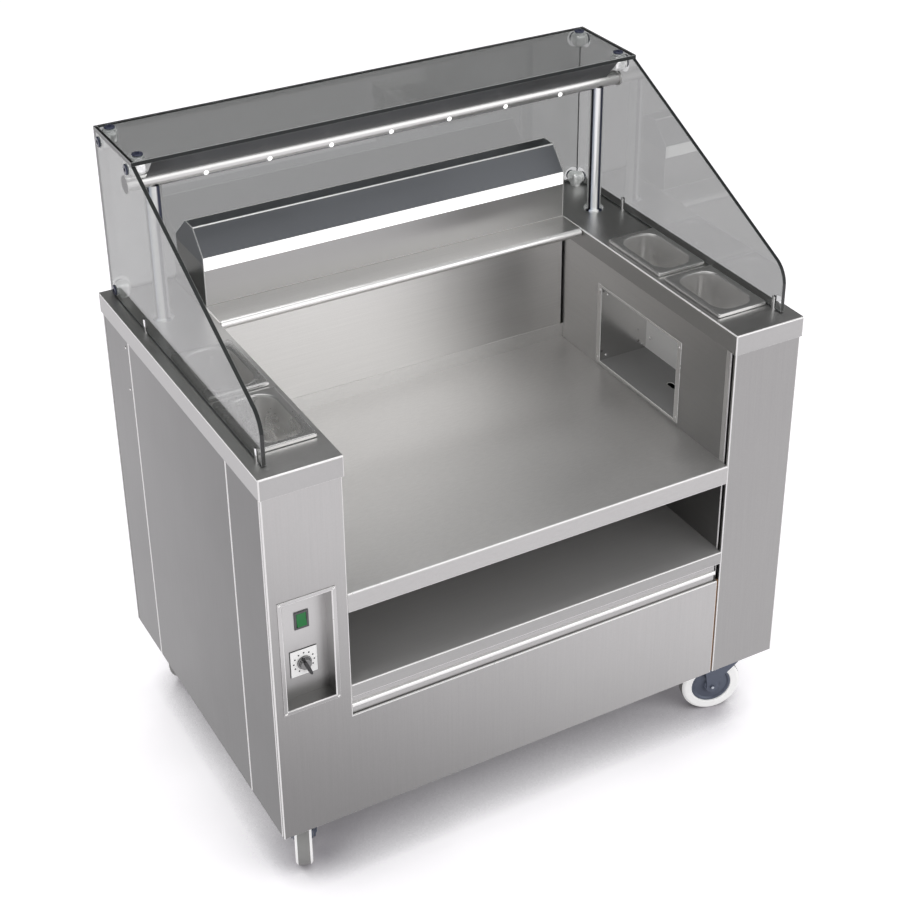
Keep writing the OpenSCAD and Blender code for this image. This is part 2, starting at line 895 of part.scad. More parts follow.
module container(side, row) {
    low = counter_z - gn_depth;
    well = [gn_open_w, gn_open_l];
    top = counter_z + gn_rim_h;
    color("lightgray") translate([side * gn_x, gn_front_y + row * gn_pitch, 0]) difference() {
        union() {
            translate([0, 0, counter_z + seat_gap])
                linear_extrude(gn_rim_h - seat_gap) round_rect(gn_w, gn_l, gn_edge_r);
            translate([0, 0, low])
                linear_extrude(gn_depth + gn_rim_h)
                    round_rect(well[0] + 2 * gn_t, well[1] + 2 * gn_t, gn_r + gn_t);
        }
        translate([0, 0, low + gn_t])
            linear_extrude(gn_depth + gn_rim_h) round_rect(well[0], well[1], gn_r);
        difference() {
            translate([0, 0, low]) linear_extrude(gn_depth + gn_rim_h - gn_t)
                round_rect(gn_w - 2 * gn_t, gn_l - 2 * gn_t, gn_edge_r);
            translate([0, 0, low - eps]) linear_extrude(top - low + 2 * eps)
                round_rect(well[0] + 2 * gn_t, well[1] + 2 * gn_t, gn_r + gn_t);
        }
    }
}

module container_left_front() { container(-1, 0); }
module container_left_rear() { container(-1, 1); }
module container_right_front() { container(1, 0); }
module container_right_rear() { container(1, 1); }

// Control recess

module control_recess() {
    color("lightgray") translate([-recess_x, 0, recess_z]) difference() {
        union() {
            slab([-recess_w / 2 - recess_rim, recess_w / 2 + recess_rim], [-body_y - sheet, -body_y],
                [-recess_h / 2 - recess_rim, recess_h / 2 + recess_rim]);
            slab([-recess_w / 2 - sheet, recess_w / 2 + sheet], [-body_y - sheet, recess_back_y + sheet],
                [-recess_h / 2 - sheet, recess_h / 2 + sheet]);
        }
        slab([-recess_w / 2, recess_w / 2], [-body_y - sheet - eps, recess_back_y],
            [-recess_h / 2, recess_h / 2]);
        translate([0, recess_back_y, switch_up])
            cube([housing_w + 2 * cut_gap, 4 * sheet, housing_h + 2 * cut_gap], center = true);
        translate([0, recess_back_y + sheet + eps, -dial_down]) rotate([90, 0, 0])
            cylinder(h = sheet + 2 * eps, r = bush_d / 2 + hole_gap);
    }
}

// The switch at zero: its face looks towards -Y and the plate lies in the plane y = 0
module at_switch() {
    translate([-recess_x, recess_back_y, switch_z]) children();
}

module switch_housing() {
    color("black") at_switch() {
        difference() {
            union() {
                slab([-housing_w / 2, housing_w / 2], [-bezel_h, housing_d],
                    [-housing_h / 2, housing_h / 2]);
                slab([-cavity_w / 2 - bezel_rim, cavity_w / 2 + bezel_rim], [-bezel_h, 0],
                    [-cavity_h / 2 - bezel_rim, cavity_h / 2 + bezel_rim]);
            }
            slab([-cavity_w / 2, cavity_w / 2], [-bezel_h - eps, cavity_d], [-cavity_h / 2, cavity_h / 2]);
        }
        translate([-housing_w / 2, pivot_depth, 0]) rotate([0, 90, 0])
            cylinder(h = housing_w, r = pivot_d / 2);
    }
}

module rocker() {
    outline = [
        [-rocker_h / 2, -wing_out], [-rocker_h / 2, pivot_depth], [0, keel_in],
        [rocker_h / 2, pivot_depth], [rocker_h / 2, -wing_out], [0, -waist_out]
    ];
    color("green") at_switch() translate([0, pivot_depth, 0]) rotate([-rocker_swing, 0, 0])
        translate([-rocker_w / 2, -pivot_depth, 0]) difference() {
            rotate([90, 0, 90]) linear_extrude(rocker_w) polygon([for (p = outline) [p[1], p[0]]]);
            translate([-eps, pivot_depth, 0]) rotate([0, 90, 0])
                cylinder(h = rocker_w + 2 * eps, r = pivot_d / 2 + fit_gap);
        }
}

// The dial at zero: +Z points out of the plate towards the cook
module at_dial() {
    translate([-recess_x, recess_back_y, dial_z]) rotate([90, 0, 0]) children();
}

module dial_plate() {
    color("white") at_dial() difference() {
        translate([-dial_w / 2, -dial_h / 2, 0]) cube([dial_w, dial_h, dial_t]);
        translate([0, 0, -eps]) cylinder(h = dial_t + 2 * eps, r = bush_d / 2 + hole_gap);
    }
}

module rotary_switch() {
    color("dimgray") at_dial() difference() {
        union() {
            translate([-rotary_a / 2, -rotary_a / 2, -sheet - rotary_d])
                cube([rotary_a, rotary_a, rotary_d]);
            translate([0, 0, -sheet - eps]) cylinder(h = sheet + eps + bush_h, r = bush_d / 2);
        }
        translate([0, 0, -sheet - rotary_d - eps])
            cylinder(h = rotary_d + sheet + bush_h + 2 * eps, r = spindle_d / 2 + fit_gap);
    }
}

module knob() {
    low = dial_t + knob_gap;
    color("black") at_dial() {
        difference() {
            union() {
                translate([0, 0, low]) cylinder(h = knob_h - handle_h, r = knob_d / 2);
                rotate(handle_turn) translate([-knob_d / 2 + handle_w / 2, -handle_w / 2, low])
                    cube([knob_d / 2 + handle_l - handle_w, handle_w, knob_h]);
                rotate(handle_turn) translate([handle_l - handle_w / 2, 0, low])
                    cylinder(h = knob_h, r = handle_w / 2);
            }
            translate([0, 0, low - eps])
                cylinder(h = bush_h - low + knob_bush_gap + eps, r = bush_d / 2 + knob_bush_gap);
        }
        translate([0, 0, low + knob_h - handle_h - spindle_l]) cylinder(h = spindle_l, r = spindle_d / 2);
    }
}

module control_box() {
    front = recess_back_y + control_box_set;
    color("lightsteelblue")
        slab([-wall_x - sheet - control_box_size[0], -wall_x - sheet],
            [front, front + control_box_size[1]],
            [recess_z - control_box_size[2] / 2, recess_z + control_box_size[2] / 2]);
}

module led_driver() {
    color("white")
        slab([-driver_size[0] / 2, driver_size[0] / 2], [bay_y + sheet, bay_y + sheet + driver_size[1]],
            [driver_z, driver_z + driver_size[2]]);
}

module cable_gland() {
    color("black") translate([gland_place[0], gland_place[1], 0]) difference() {
        union() {
            translate([0, 0, pan_z - gland_tail])
                cylinder(h = gland_tail + sheet + gland_nut_h, r = gland_d / 2);
            translate([0, 0, pan_z - gland_nut_h]) cylinder(h = gland_nut_h, r = gland_nut_d / 2);
            translate([0, 0, floor_z]) cylinder(h = gland_nut_h, r = gland_nut_d / 2);
        }
        translate([0, 0, pan_z - gland_tail - eps])
            cylinder(h = gland_tail + sheet + gland_nut_h + 2 * eps, r = gland_bore_d / 2);
    }
}

// Niche

module niche_box() {
    color("darkgray") translate([wall_x, niche_y, niche_mid_z]) difference() {
        union() {
            slab([-sheet, 0], [-niche_w / 2 - niche_rim, niche_w / 2 + niche_rim],
                [-niche_h / 2 - niche_bar, niche_h / 2 + niche_bar]);
            slab([-sheet, niche_d + sheet], [-niche_w / 2 - sheet, niche_w / 2 + sheet],
                [-niche_h / 2 - sheet, niche_h / 2 + sheet]);
        }
        slab([-sheet - eps, niche_d], [-niche_w / 2, niche_w / 2], [-niche_h / 2, niche_h / 2]);
        translate([slot_place[1], slot_place[0], -niche_h / 2 - sheet - eps])
            linear_extrude(sheet + 2 * eps) {
                square([slot_w, slot_l - slot_w], center = true);
                for (i = [-1, 1]) translate([0, i * (slot_l - slot_w) / 2]) circle(slot_w / 2);
            }
    }
}

// Screw heads

module panel_screws() {
    color("gainsboro") {
        for (i = [-1, 1], j = [-1, 1]) {
            translate([-recess_x + i * (recess_w + recess_rim) / 2, -body_y - sheet,
                recess_z + j * (recess_h + recess_rim) / 2])
                rotate([90, 0, 0]) cylinder(h = screw_h, r = screw_d / 2);
            translate([wall_x - sheet, niche_y + i * (niche_w + niche_rim) / 2,
                niche_mid_z + j * (niche_h - niche_rim) / 2])
                rotate([0, -90, 0]) cylinder(h = screw_h, r = screw_d / 2);
        }
        both_sides() for (z = side_screw_down)
            translate([body_x, side_end - side_rear_d + side_screw_set, counter_z - z])
                rotate([0, 90, 0]) cylinder(h = screw_h, r = screw_d / 2);
    }
}

// Casters

// Children placed at one caster, with the wheel towards +X
module at_caster(side, end, turn) {
    translate([side * caster_x, end * caster_y, 0]) rotate([0, 0, turn]) children();
}

module caster_plates() {
    color("silver") for (i = [-1, 1], j = [-1, 1]) translate([i * caster_x, j * caster_y, 0]) {
        translate([-caster_plate_w / 2, -caster_plate_l / 2, caster_h - plate_t])
            cube([caster_plate_w, caster_plate_l, plate_t]);
        translate([0, 0, caster_h - plate_t - race_h]) cylinder(h = race_h, r = race_r);
        translate([0, 0, crown_under - seat_gap])
            cylinder(h = caster_h - plate_t - crown_under, r = kingpin_r);
        translate([0, 0, crown_under - seat_gap - kingpin_head_h])
            cylinder(h = kingpin_head_h, r = kingpin_head_r);
        for (k = [-1, 1], m = [-1, 1])
            translate([k * (caster_plate_w / 2 - bolt_set), m * (caster_plate_l / 2 - bolt_set),
                caster_h - plate_t - bolt_head_h])
                cylinder(h = bolt_head_h, r = bolt_head_r);
    }
}

module fork_leg() {
    translate([0, leg_out, 0]) rotate([90, 0, 0]) linear_extrude(leg_t) {
        polygon([
            [leg_front, crown_under], [leg_front, crown_under - leg_shoulder], [trail - boss_r, wheel_r],
            [trail + boss_r, wheel_r], [leg_rear, crown_under - leg_shoulder], [leg_rear, crown_under]
        ]);
        translate([trail, wheel_r]) circle(boss_r);
    }
}

module axle() {
    translate([trail, 0, wheel_r]) rotate([90, 0, 0]) {
        cylinder(h = 2 * leg_out + axle_head_h, r = axle_d / 2, center = true);
        for (i = [-1, 1]) translate([0, 0, i * (leg_out + fit_gap + axle_head_h / 2)])
            cylinder(h = axle_head_h, r = axle_head_r, center = true);
    }
}

module fork() {
    color("slategray") difference() {
        union() {
            translate([0, 0, crown_under]) cylinder(h = crown_t, r = race_r);
            slab([0, leg_rear], [-leg_out, leg_out], [crown_under, crown_z]);
            fork_leg();
            mirror([0, 1, 0]) fork_leg();
        }
        translate([0, 0, crown_under - eps]) cylinder(h = crown_t + 2 * eps, r = kingpin_r + fit_gap);
        translate([trail, leg_out + eps, wheel_r]) rotate([90, 0, 0])
            cylinder(h = 2 * leg_out + 2 * eps, r = axle_d / 2 + fit_gap);
        translate([pedal_x, leg_out + eps, pedal_z]) rotate([90, 0, 0])
            cylinder(h = 2 * leg_out + 2 * eps, r = pedal_pin_r + fit_gap);
    }
    color("silver") axle();
}

module wheel() {
    translate([trail, 0, wheel_r]) rotate([90, 0, 0]) {
        color("slategray") rotate_extrude() for (i = [0, 1]) mirror([0, i]) polygon([
            [axle_d / 2 + fit_gap, 0], [hub_r, 0], [hub_r, hub_half], [hub_r - hub_rim, hub_half],
            [hub_r - hub_rim, hub_half - hub_dish], [hub_core_r, hub_half - hub_dish],
            [hub_core_r, hub_l / 2], [axle_d / 2 + fit_gap, hub_l / 2]
        ]);
        color("whitesmoke") rotate_extrude() difference() {
            union() {
                square([wheel_r, wheel_w - 2 * tyre_round], center = false);
                translate([0, -wheel_w / 2 + tyre_round]) square([wheel_r, wheel_w - 2 * tyre_round]);
                translate([0, -wheel_w / 2]) square([wheel_r - tyre_round, wheel_w]);
                for (i = [-1, 1]) translate([wheel_r - tyre_round, i * (wheel_w / 2 - tyre_round)])
                    circle(tyre_round);
            }
            translate([-eps, -wheel_w]) square([hub_r + fit_gap + eps, 2 * wheel_w]);
        }
    }
}

module brake() {
    color("black") {
        translate([pedal_x, 0, pedal_z]) rotate([90, 0, 0]) {
            cylinder(h = 2 * leg_out, r = pedal_pin_r, center = true);
            cylinder(h = 2 * (leg_in - pedal_side_gap), r = pedal_hub_r, center = true);
        }
        slab([pedal_x, pedal_x + pedal_neck + pedal_t], [-leg_in + pedal_side_gap, leg_in - pedal_side_gap],
            [pedal_z - pedal_t / 2, pedal_z + pedal_t / 2]);
        slab([pedal_x + pedal_neck, pedal_reach], [-pedal_w / 2, pedal_w / 2],
            [pedal_z - pedal_t / 2, pedal_z + pedal_t / 2]);
    }
}

module fork_front_left() { at_caster(-1, -1, turn_front_left) fork(); }
module fork_front_right() { at_caster(1, -1, turn_front_right) fork(); }
module fork_rear_left() { at_caster(-1, 1, turn_rear_left) fork(); }
module fork_rear_right() { at_caster(1, 1, turn_rear_right) fork(); }
module wheel_front_left() { at_caster(-1, -1, turn_front_left) wheel(); }
module wheel_front_right() { at_caster(1, -1, turn_front_right) wheel(); }
module wheel_rear_left() { at_caster(-1, 1, turn_rear_left) wheel(); }
module wheel_rear_right() { at_caster(1, 1, turn_rear_right) wheel(); }
module brake_front_left() { at_caster(-1, -1, turn_front_left) brake(); }
module brake_front_right() { at_caster(1, -1, turn_front_right) brake(); }

base_frame();
base_pan();
front_cover();
right_front_panel();
left_side_front();
left_side_middle();
left_side_rear();
right_side_front();
right_side_middle();
right_side_rear();
back_panel();
left_inner_wall();
right_inner_wall();
left_cap();
right_cap();
worktop();
rear_wall();
shelf();
front_trim();
sill();
hood_shell();
hood_ends();
light_diffuser();
strip_lamp();
left_glass();
right_glass();
top_glass();
rear_glass();
glass_connectors();
connector_caps();
glass_pins();
posts();
light_tube();
light_shade();
led_spots();
control_recess();
switch_housing();
dial_plate();
rotary_switch();
control_box();
led_driver();
cable_gland();
niche_box();
panel_screws();
caster_plates();
container_left_front();
container_left_rear();
container_right_front();
container_right_rear();
rocker();
knob();
fork_front_left();
fork_front_right();
fork_rear_left();
fork_rear_right();
wheel_front_left();
wheel_front_right();
wheel_rear_left();
wheel_rear_right();
brake_front_left();
brake_front_right();
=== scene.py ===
# %% [markdown]
# # A mobile cooking station in brushed steel
# The measured model brings every sheet, pane and wheel in its right place. This file dresses it:
# it rounds the folded edges, turns the pans, the knob and the casters into finer surfaces, and gives
# each part its finish. Everything is in metres, with the origin on the floor under the middle.

# %% Load the measured model
import json
import math

import bmesh
import bpy
import numpy as np
from mathutils import Matrix, Vector

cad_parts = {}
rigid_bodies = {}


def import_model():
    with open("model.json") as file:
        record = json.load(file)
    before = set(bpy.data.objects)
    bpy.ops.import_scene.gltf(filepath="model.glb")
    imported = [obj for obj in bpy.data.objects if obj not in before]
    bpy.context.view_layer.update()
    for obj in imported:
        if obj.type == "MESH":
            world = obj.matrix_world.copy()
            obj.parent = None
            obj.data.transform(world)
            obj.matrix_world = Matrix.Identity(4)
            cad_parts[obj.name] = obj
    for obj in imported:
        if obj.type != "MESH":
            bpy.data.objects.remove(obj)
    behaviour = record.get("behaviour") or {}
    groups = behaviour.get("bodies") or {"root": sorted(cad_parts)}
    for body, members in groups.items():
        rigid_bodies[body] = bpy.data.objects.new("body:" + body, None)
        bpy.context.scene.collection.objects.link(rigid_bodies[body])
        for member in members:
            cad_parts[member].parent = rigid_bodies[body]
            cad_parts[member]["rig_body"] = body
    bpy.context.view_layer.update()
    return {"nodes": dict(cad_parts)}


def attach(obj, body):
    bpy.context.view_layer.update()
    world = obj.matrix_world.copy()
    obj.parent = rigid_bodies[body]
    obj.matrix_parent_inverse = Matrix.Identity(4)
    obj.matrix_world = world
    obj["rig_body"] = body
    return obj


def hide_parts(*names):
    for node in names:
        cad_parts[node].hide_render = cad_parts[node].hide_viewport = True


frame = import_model()
nodes = frame["nodes"]

# %% [markdown]
# ## Surfaces from numbers
# A pan, a knob or a tyre is a smooth surface, so it is easiest to write down as a grid of points: one
# number runs round the shape, the other runs along it. Numpy works out all the points at once, and
# the faces follow from the grid. Modelling by hand would give the same shape, but a formula can be
# changed with one number.

# %% Grids and their faces
def grid_faces(rows, columns, round_rows=False, round_columns=True):
    """Four-cornered faces between neighbours of a grid of points, joined round where asked."""
    i = np.arange(rows if round_rows else rows - 1)[:, None]
    j = np.arange(columns if round_columns else columns - 1)[None, :]
    here, below = i * columns, ((i + 1) % rows) * columns
    right = (j + 1) % columns
    return np.stack(np.broadcast_arrays(here + j, here + right, below + right, below + j), -1).reshape(-1, 4)


def surface(points, round_rows=False, round_columns=True):
    """A shape, as points and faces, from a grid of points with shape (rows, columns, 3)."""
    rows, columns = points.shape[:2]
    return points.reshape(-1, 3), grid_faces(rows, columns, round_rows, round_columns)


def frame_of(axis):
    """Two unit vectors square to an axis, and the axis itself, as rows."""
    axis = np.array(axis, float) / np.linalg.norm(axis)
    side = np.cross((0, 0, 1.0) if abs(axis[2]) < 0.9 else (1.0, 0, 0), axis)
    side /= np.linalg.norm(side)
    return np.array([side, np.cross(axis, side), axis])


def lathe(profile, centre=(0, 0, 0), axis=(0, 0, 1), steps=48):
    """Turn (radius, height) pairs round an axis: point = centre + radius * (cos, sin) + height * axis."""
    profile = np.array(profile, float)
    turn = np.linspace(0, 2 * math.pi, steps, endpoint=False)
    side, up, along = frame_of(axis)
    ring = np.cos(turn)[:, None] * side + np.sin(turn)[:, None] * up
    points = profile[:, 0, None, None] * ring[None] + profile[:, 1, None, None] * along + np.array(centre)
    return surface(points)


def prism(outline, low, high, axis=1):
    """A flat outline carried along one axis from low to high, with both ends closed."""
    outline = np.array(outline, float)
    count = len(outline)
    first = np.insert(outline, axis, low, axis=1)
    last = np.insert(outline, axis, high, axis=1)
    faces = grid_faces(2, count).tolist() + [list(range(count))[::-1], list(range(count, 2 * count))]
    return np.concatenate([first, last]), faces


def block(low, high):
    """A plain box between two corners, as a prism of its outline in X and Z."""
    (x0, y0, z0), (x1, y1, z1) = low, high
    return prism([(x0, z0), (x1, z0), (x1, z1), (x0, z1)], y0, y1)


def turned(shape, angle, centre=(0, 0, 0)):
    """A shape turned about the upright axis by an angle in degrees, then moved to its centre."""
    c, s = math.cos(math.radians(angle)), math.sin(math.radians(angle))
    return shape[0] @ np.array([[c, s, 0], [-s, c, 0], [0, 0, 1]]) + np.array(centre), shape[1]


print("a ring of 4 rows by 12 points has", len(grid_faces(4, 12)), "faces")

# %% [markdown]
# ## From shapes to objects
# Several small shapes that never move apart can be one object. Their doubled points are merged, the
# faces are turned outwards, and a small bevel gives each edge the thin bright line that real metal
# has. The object rides on a body of the measured model and stands for one of its nodes.

# %% Make a piece
SMOOTH = 40                    # degrees of bend up to which a surface looks smooth
BEND = math.radians(35)        # an edge with more bend than this gets a bevel


def piece(name, shapes, body, material, replaces=None, bevel=0.0, smooth=SMOOTH):
    """One object from a list of (points, faces[, material number]) shapes, its faces turned outwards."""
    points, faces, numbers, start = [], [], [], 0
    for own_points, own_faces, *number in shapes:
        points.append(np.array(own_points, float))
        faces += [(np.array(face) + start).tolist() for face in own_faces]
        numbers += (number or [0]) * len(own_faces)
        start += len(own_points)
    mesh = bpy.data.meshes.new(name)
    mesh.from_pydata(np.concatenate(points).tolist(), [], faces)
    mesh.polygons.foreach_set("material_index", numbers)
    return finish_piece(mesh, name, body, material, replaces, bevel, smooth, turn=True)


def finish_piece(mesh, name, body, material, replaces=None, bevel=0.0, smooth=SMOOTH, turn=False):
    """Merge doubles, turn faces outwards where asked, shade smooth up to an angle, and add the bevel."""
    work = bmesh.new()
    work.from_mesh(mesh)
    bmesh.ops.remove_doubles(work, verts=work.verts, dist=2e-6)
    bmesh.ops.dissolve_degenerate(work, edges=work.edges, dist=1e-7)
    if turn:
        bmesh.ops.recalc_face_normals(work, faces=work.faces)
    work.to_mesh(mesh)
    work.free()
    mesh.update()
    thing = bpy.data.objects.new(name, mesh)
    bpy.context.scene.collection.objects.link(thing)
    for finish in (material if isinstance(material, list) else [material]):
        mesh.materials.append(finish)
    mesh.polygons.foreach_set("use_smooth", np.ones(len(mesh.polygons), bool))
    mesh.set_sharp_from_angle(angle=math.radians(smooth))
    if bevel:
        rounding = thing.modifiers.new("edge", "BEVEL")
        rounding.width = bevel
        rounding.segments = 2
        rounding.limit_method = "ANGLE"
        rounding.angle_limit = BEND
        rounding.use_clamp_overlap = True
        rounding.harden_normals = True
    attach(thing, body)
    if replaces:
        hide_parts(replaces)
    return thing


print("edges that bend more than", round(math.degrees(BEND)), "degrees get a bevel")

# %% [markdown]
# ## Bends and cut edges
# Sheet steel is bent over a tool, so a fold is a small curve, while the edge that the shears left is
# only just dulled. One Bevel modifier can do both: each edge carries a weight, full for a fold and a
# small share for a cut. A copy of the measured solid is used, and its triangles are merged into flat
# faces first, because a bevel needs real edges. Rules then give single faces another finish.

# %% Round the bends of a sheet
FLAT = math.radians(0.5)       # faces that differ by less than this are merged into one
WIDE_FACE = 0.0045             # a face with a smaller mean width is the cut edge of a sheet


def is_wide(face):
    """Whether a face's mean width, which is twice its area over its perimeter, is above a cut edge's."""
    return 2 * face.calc_area() > WIDE_FACE * face.calc_perimeter()


def weigh_edges(mesh, share):
    """Outward bends between two wide faces get the full bevel, other outward edges only a share of it."""
    work = bmesh.new()
    work.from_mesh(mesh)
    bmesh.ops.dissolve_limit(work, angle_limit=FLAT, verts=work.verts, edges=work.edges)
    weight = work.edges.layers.float.new("bevel_weight_edge")
    for edge in work.edges:
        if len(edge.link_faces) == 2 and edge.calc_face_angle_signed(0) > BEND:
            edge[weight] = 1.0 if all(is_wide(face) for face in edge.link_faces) else share
    work.to_mesh(mesh)
    work.free()


def dress(mesh, rules):
    """Give faces a material number wherever a rule (number, test of normals and centres) holds."""
    count = len(mesh.polygons)
    normals, centres = np.empty(count * 3), np.empty(count * 3)
    mesh.polygons.foreach_get("normal", normals)
    mesh.polygons.foreach_get("center", centres)
    numbers = np.zeros(count, np.int32)
    for number, test in rules:
        numbers[test(normals.reshape(-1, 3), centres.reshape(-1, 3))] = number
    mesh.polygons.foreach_set("material_index", numbers)


def softened(node, material, bend=0.0021, cut=0.00035, rules=(), edge=None):
    """A copy of a measured node with round bends and fine cut edges, standing for that node."""
    materials = material if isinstance(material, list) else [material]
    source = nodes[node]
    mesh = source.data.copy()
    mesh.materials.clear()
    if "custom_normal" in mesh.attributes:
        mesh.attributes.remove(mesh.attributes["custom_normal"])
    thing = finish_piece(mesh, node + "_sheet", source["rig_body"], materials + [edge or materials[0]], node)
    weigh_edges(mesh, cut / bend)
    dress(mesh, rules)
    mesh.set_sharp_from_angle(angle=math.radians(SMOOTH))
    rounding = thing.modifiers.new("edge", "BEVEL")
    rounding.width = bend
    rounding.segments = 3
    rounding.limit_method = "WEIGHT"
    rounding.use_clamp_overlap = False
    rounding.harden_normals = True
    # the bevel's faces take the edge finish; on the sheets that is a pale steel, a painted highlight
    rounding.material = len(materials)
    return thing


print("a face narrower than", WIDE_FACE, "m counts as a cut edge")

# %% [markdown]
# ## Nodes in few words
# A material in Blender is a tree of small nodes, each with a few inputs. Building one by hand is a
# matter of clicking and linking, and in Python it soon fills the page. The helpers below make one
# node a line: a number or colour is written into an input, and another node's output is linked to it.

# %% Helpers for node trees
def add(tree, kind, inputs=None, **settings):
    """A node with some settings, its inputs filled with values or linked to other sockets."""
    made = tree.nodes.new(kind)
    for key, value in settings.items():
        setattr(made, key, value)
    for key, value in (inputs or {}).items():
        if isinstance(value, bpy.types.NodeSocket):
            tree.links.new(value, made.inputs[key])
        else:
            made.inputs[key].default_value = value
    return made


def maths(tree, operation, a, b=0.0, c=0.0):
    """One Math node's value."""
    return add(tree, "ShaderNodeMath", {0: a, 1: b, 2: c}, operation=operation).outputs[0]


def vector_maths(tree, operation, a, b=None, scale=None):
    """One Vector Math node's result: a number for a dot product or a distance, otherwise a vector."""
    inputs = {key: value for key, value in ((0, a), (1, b), (3, scale)) if value is not None}
    made = add(tree, "ShaderNodeVectorMath", inputs, operation=operation)
    return made.outputs["Value" if operation in ("DOT_PRODUCT", "DISTANCE") else "Vector"]


def noise(tree, place, scale, detail, roughness=0.5):
    """A Noise Texture's value, from 0 to 1 with a middle of one half."""
    inputs = {"Vector": place, "Scale": scale, "Detail": detail, "Roughness": roughness}
    return add(tree, "ShaderNodeTexNoise", inputs).outputs[0]


def mix_colours(tree, factor, a, b):
    """A colour between a, at factor 0, and b, at factor 1."""
    return add(tree, "ShaderNodeMix", {"Factor": factor, 6: a, 7: b}, data_type="RGBA").outputs[2]


def mix_numbers(tree, factor, a, b):
    """A number between a, at factor 0, and b, at factor 1."""
    return add(tree, "ShaderNodeMix", {"Factor": factor, 2: a, 3: b}, data_type="FLOAT").outputs[0]


def soft_step(tree, value, low, high):
    """A value that goes smoothly from 0 at low to 1 at high."""
    inputs = {"Value": value, "From Min": low, "From Max": high}
    return add(tree, "ShaderNodeMapRange", inputs, interpolation_type="SMOOTHSTEP").outputs[0]


print("node helpers ready")

# %% [markdown]
# ## Brushed steel
# A brushed sheet is metal with thousands of fine scratches in one direction. They can be drawn as a
# picture, but noise that is stretched along one axis does the same, never repeats, and follows the
# object at any size. The group below is built once. It gives a colour, a roughness and a height,
# and every steel in the scene uses it with its own numbers.

# %% A shader group for brushed metal
COLOUR, NUMBER, VECTOR = "NodeSocketColor", "NodeSocketFloat", "NodeSocketVector"
CLOUD_GLOSS = 0.12                             # how much the large clouds change the roughness


def new_group(name, inputs, outputs):
    """An empty shader node group with named inputs (name, kind, default) and outputs (name, kind)."""
    group = bpy.data.node_groups.new(name, "ShaderNodeTree")
    for label, kind, default in inputs:
        socket = group.interface.new_socket(label, in_out="INPUT", socket_type=kind)
        socket.default_value = default
    for label, kind in outputs:
        group.interface.new_socket(label, in_out="OUTPUT", socket_type=kind)
    return group, group.nodes.new("NodeGroupInput"), group.nodes.new("NodeGroupOutput")


brushed, g_in, g_out = new_group(
    "Brushed metal",
    [("Colour", COLOUR, (0.6, 0.6, 0.6, 1)), ("Streaks", VECTOR, (8, 500, 500)),
     ("Streak Strength", NUMBER, 0.12), ("Cloud Strength", NUMBER, 0.08),
     ("Roughness", NUMBER, 0.35), ("Roughness Spread", NUMBER, 0.1)],
    [("Colour", COLOUR), ("Roughness", NUMBER), ("Height", NUMBER)],
)
where = add(brushed, "ShaderNodeTexCoord").outputs["Object"]
stretched = vector_maths(brushed, "MULTIPLY", where, g_in.outputs["Streaks"])
streak = noise(brushed, stretched, 1.0, 3.0, 0.6)
streak_off = maths(brushed, "SUBTRACT", streak, 0.5)
cloud_off = maths(brushed, "SUBTRACT", noise(brushed, where, 3.2, 4.0, 0.55), 0.5)
speck_off = maths(brushed, "SUBTRACT", noise(brushed, where, 420.0, 1.0), 0.5)
grain = maths(brushed, "ADD", streak_off, maths(brushed, "MULTIPLY", speck_off, 0.5))
lines = maths(brushed, "MULTIPLY", grain, g_in.outputs["Streak Strength"])
tone = maths(
    brushed, "ADD", maths(brushed, "MULTIPLY_ADD", cloud_off, g_in.outputs["Cloud Strength"], 1.0), lines)
brushed.links.new(vector_maths(brushed, "SCALE", g_in.outputs["Colour"], scale=tone), g_out.inputs["Colour"])
rough_lines = maths(
    brushed, "MULTIPLY_ADD", streak_off, g_in.outputs["Roughness Spread"], g_in.outputs["Roughness"])
brushed.links.new(
    maths(brushed, "MULTIPLY_ADD", cloud_off, CLOUD_GLOSS, rough_lines), g_out.inputs["Roughness"])
brushed.links.new(streak, g_out.inputs["Height"])
print("group:", brushed.name, "with", len(brushed.nodes), "nodes")

# %% [markdown]
# ## Painted light and shade along a sheet
# A sheet's reflection of the room darkens towards its foot, its front or one end, and that change is
# painted into its colour here. A second group runs from one colour to another along a direction of
# the object, with a soft step between two distances. It is a projection on an axis, a Map Range and a mix.

# %% A shader group for painted light and shade along a sheet
shade_ramp_group, f_in, f_out = new_group(
    "Painted shading ramp",
    [("Near Colour", COLOUR, (0.5, 0.5, 0.5, 1)), ("Far Colour", COLOUR, (0.5, 0.5, 0.5, 1)),
     ("Direction", VECTOR, (0, 0, 1)), ("From", NUMBER, 0.0), ("To", NUMBER, 1.0)],
    [("Colour", COLOUR)],
)
place = add(shade_ramp_group, "ShaderNodeTexCoord").outputs["Object"]
along = vector_maths(shade_ramp_group, "DOT_PRODUCT", place, f_in.outputs["Direction"])
share = soft_step(shade_ramp_group, along, f_in.outputs["From"], f_in.outputs["To"])
mixed = mix_colours(shade_ramp_group, share, f_in.outputs["Near Colour"], f_in.outputs["Far Colour"])
shade_ramp_group.links.new(mixed, f_out.inputs["Colour"])
print("group:", shade_ramp_group.name, "with", len(shade_ramp_group.nodes), "nodes")

# %% [markdown]
# ## The steels
# All sheets are one alloy. Each kind of sheet gets its own grain direction and gloss, and its own
# grey, which is painted light and shade: dark sides and a pale wall in the bay, as light falls on
# each. The grain is three stretches along X, Y and Z: the small number is the way the scratches run.

# %% Materials from the groups
def grey(level, warm=0.0):
    """A nearly neutral colour; a positive warm value makes it yellower."""
    return (level * (1 + warm), level, level * (1 - warm), 1.0)


def new_material(name):
    """A material with only a Principled shader and an output, and its node tree."""
    made = bpy.data.materials.new(name)
    made.use_nodes = True
    made.node_tree.nodes.clear()
    shader = add(made.node_tree, "ShaderNodeBsdfPrincipled")
    output = add(made.node_tree, "ShaderNodeOutputMaterial")
    made.node_tree.links.new(shader.outputs[0], output.inputs[0])
    return made, made.node_tree, shader, output


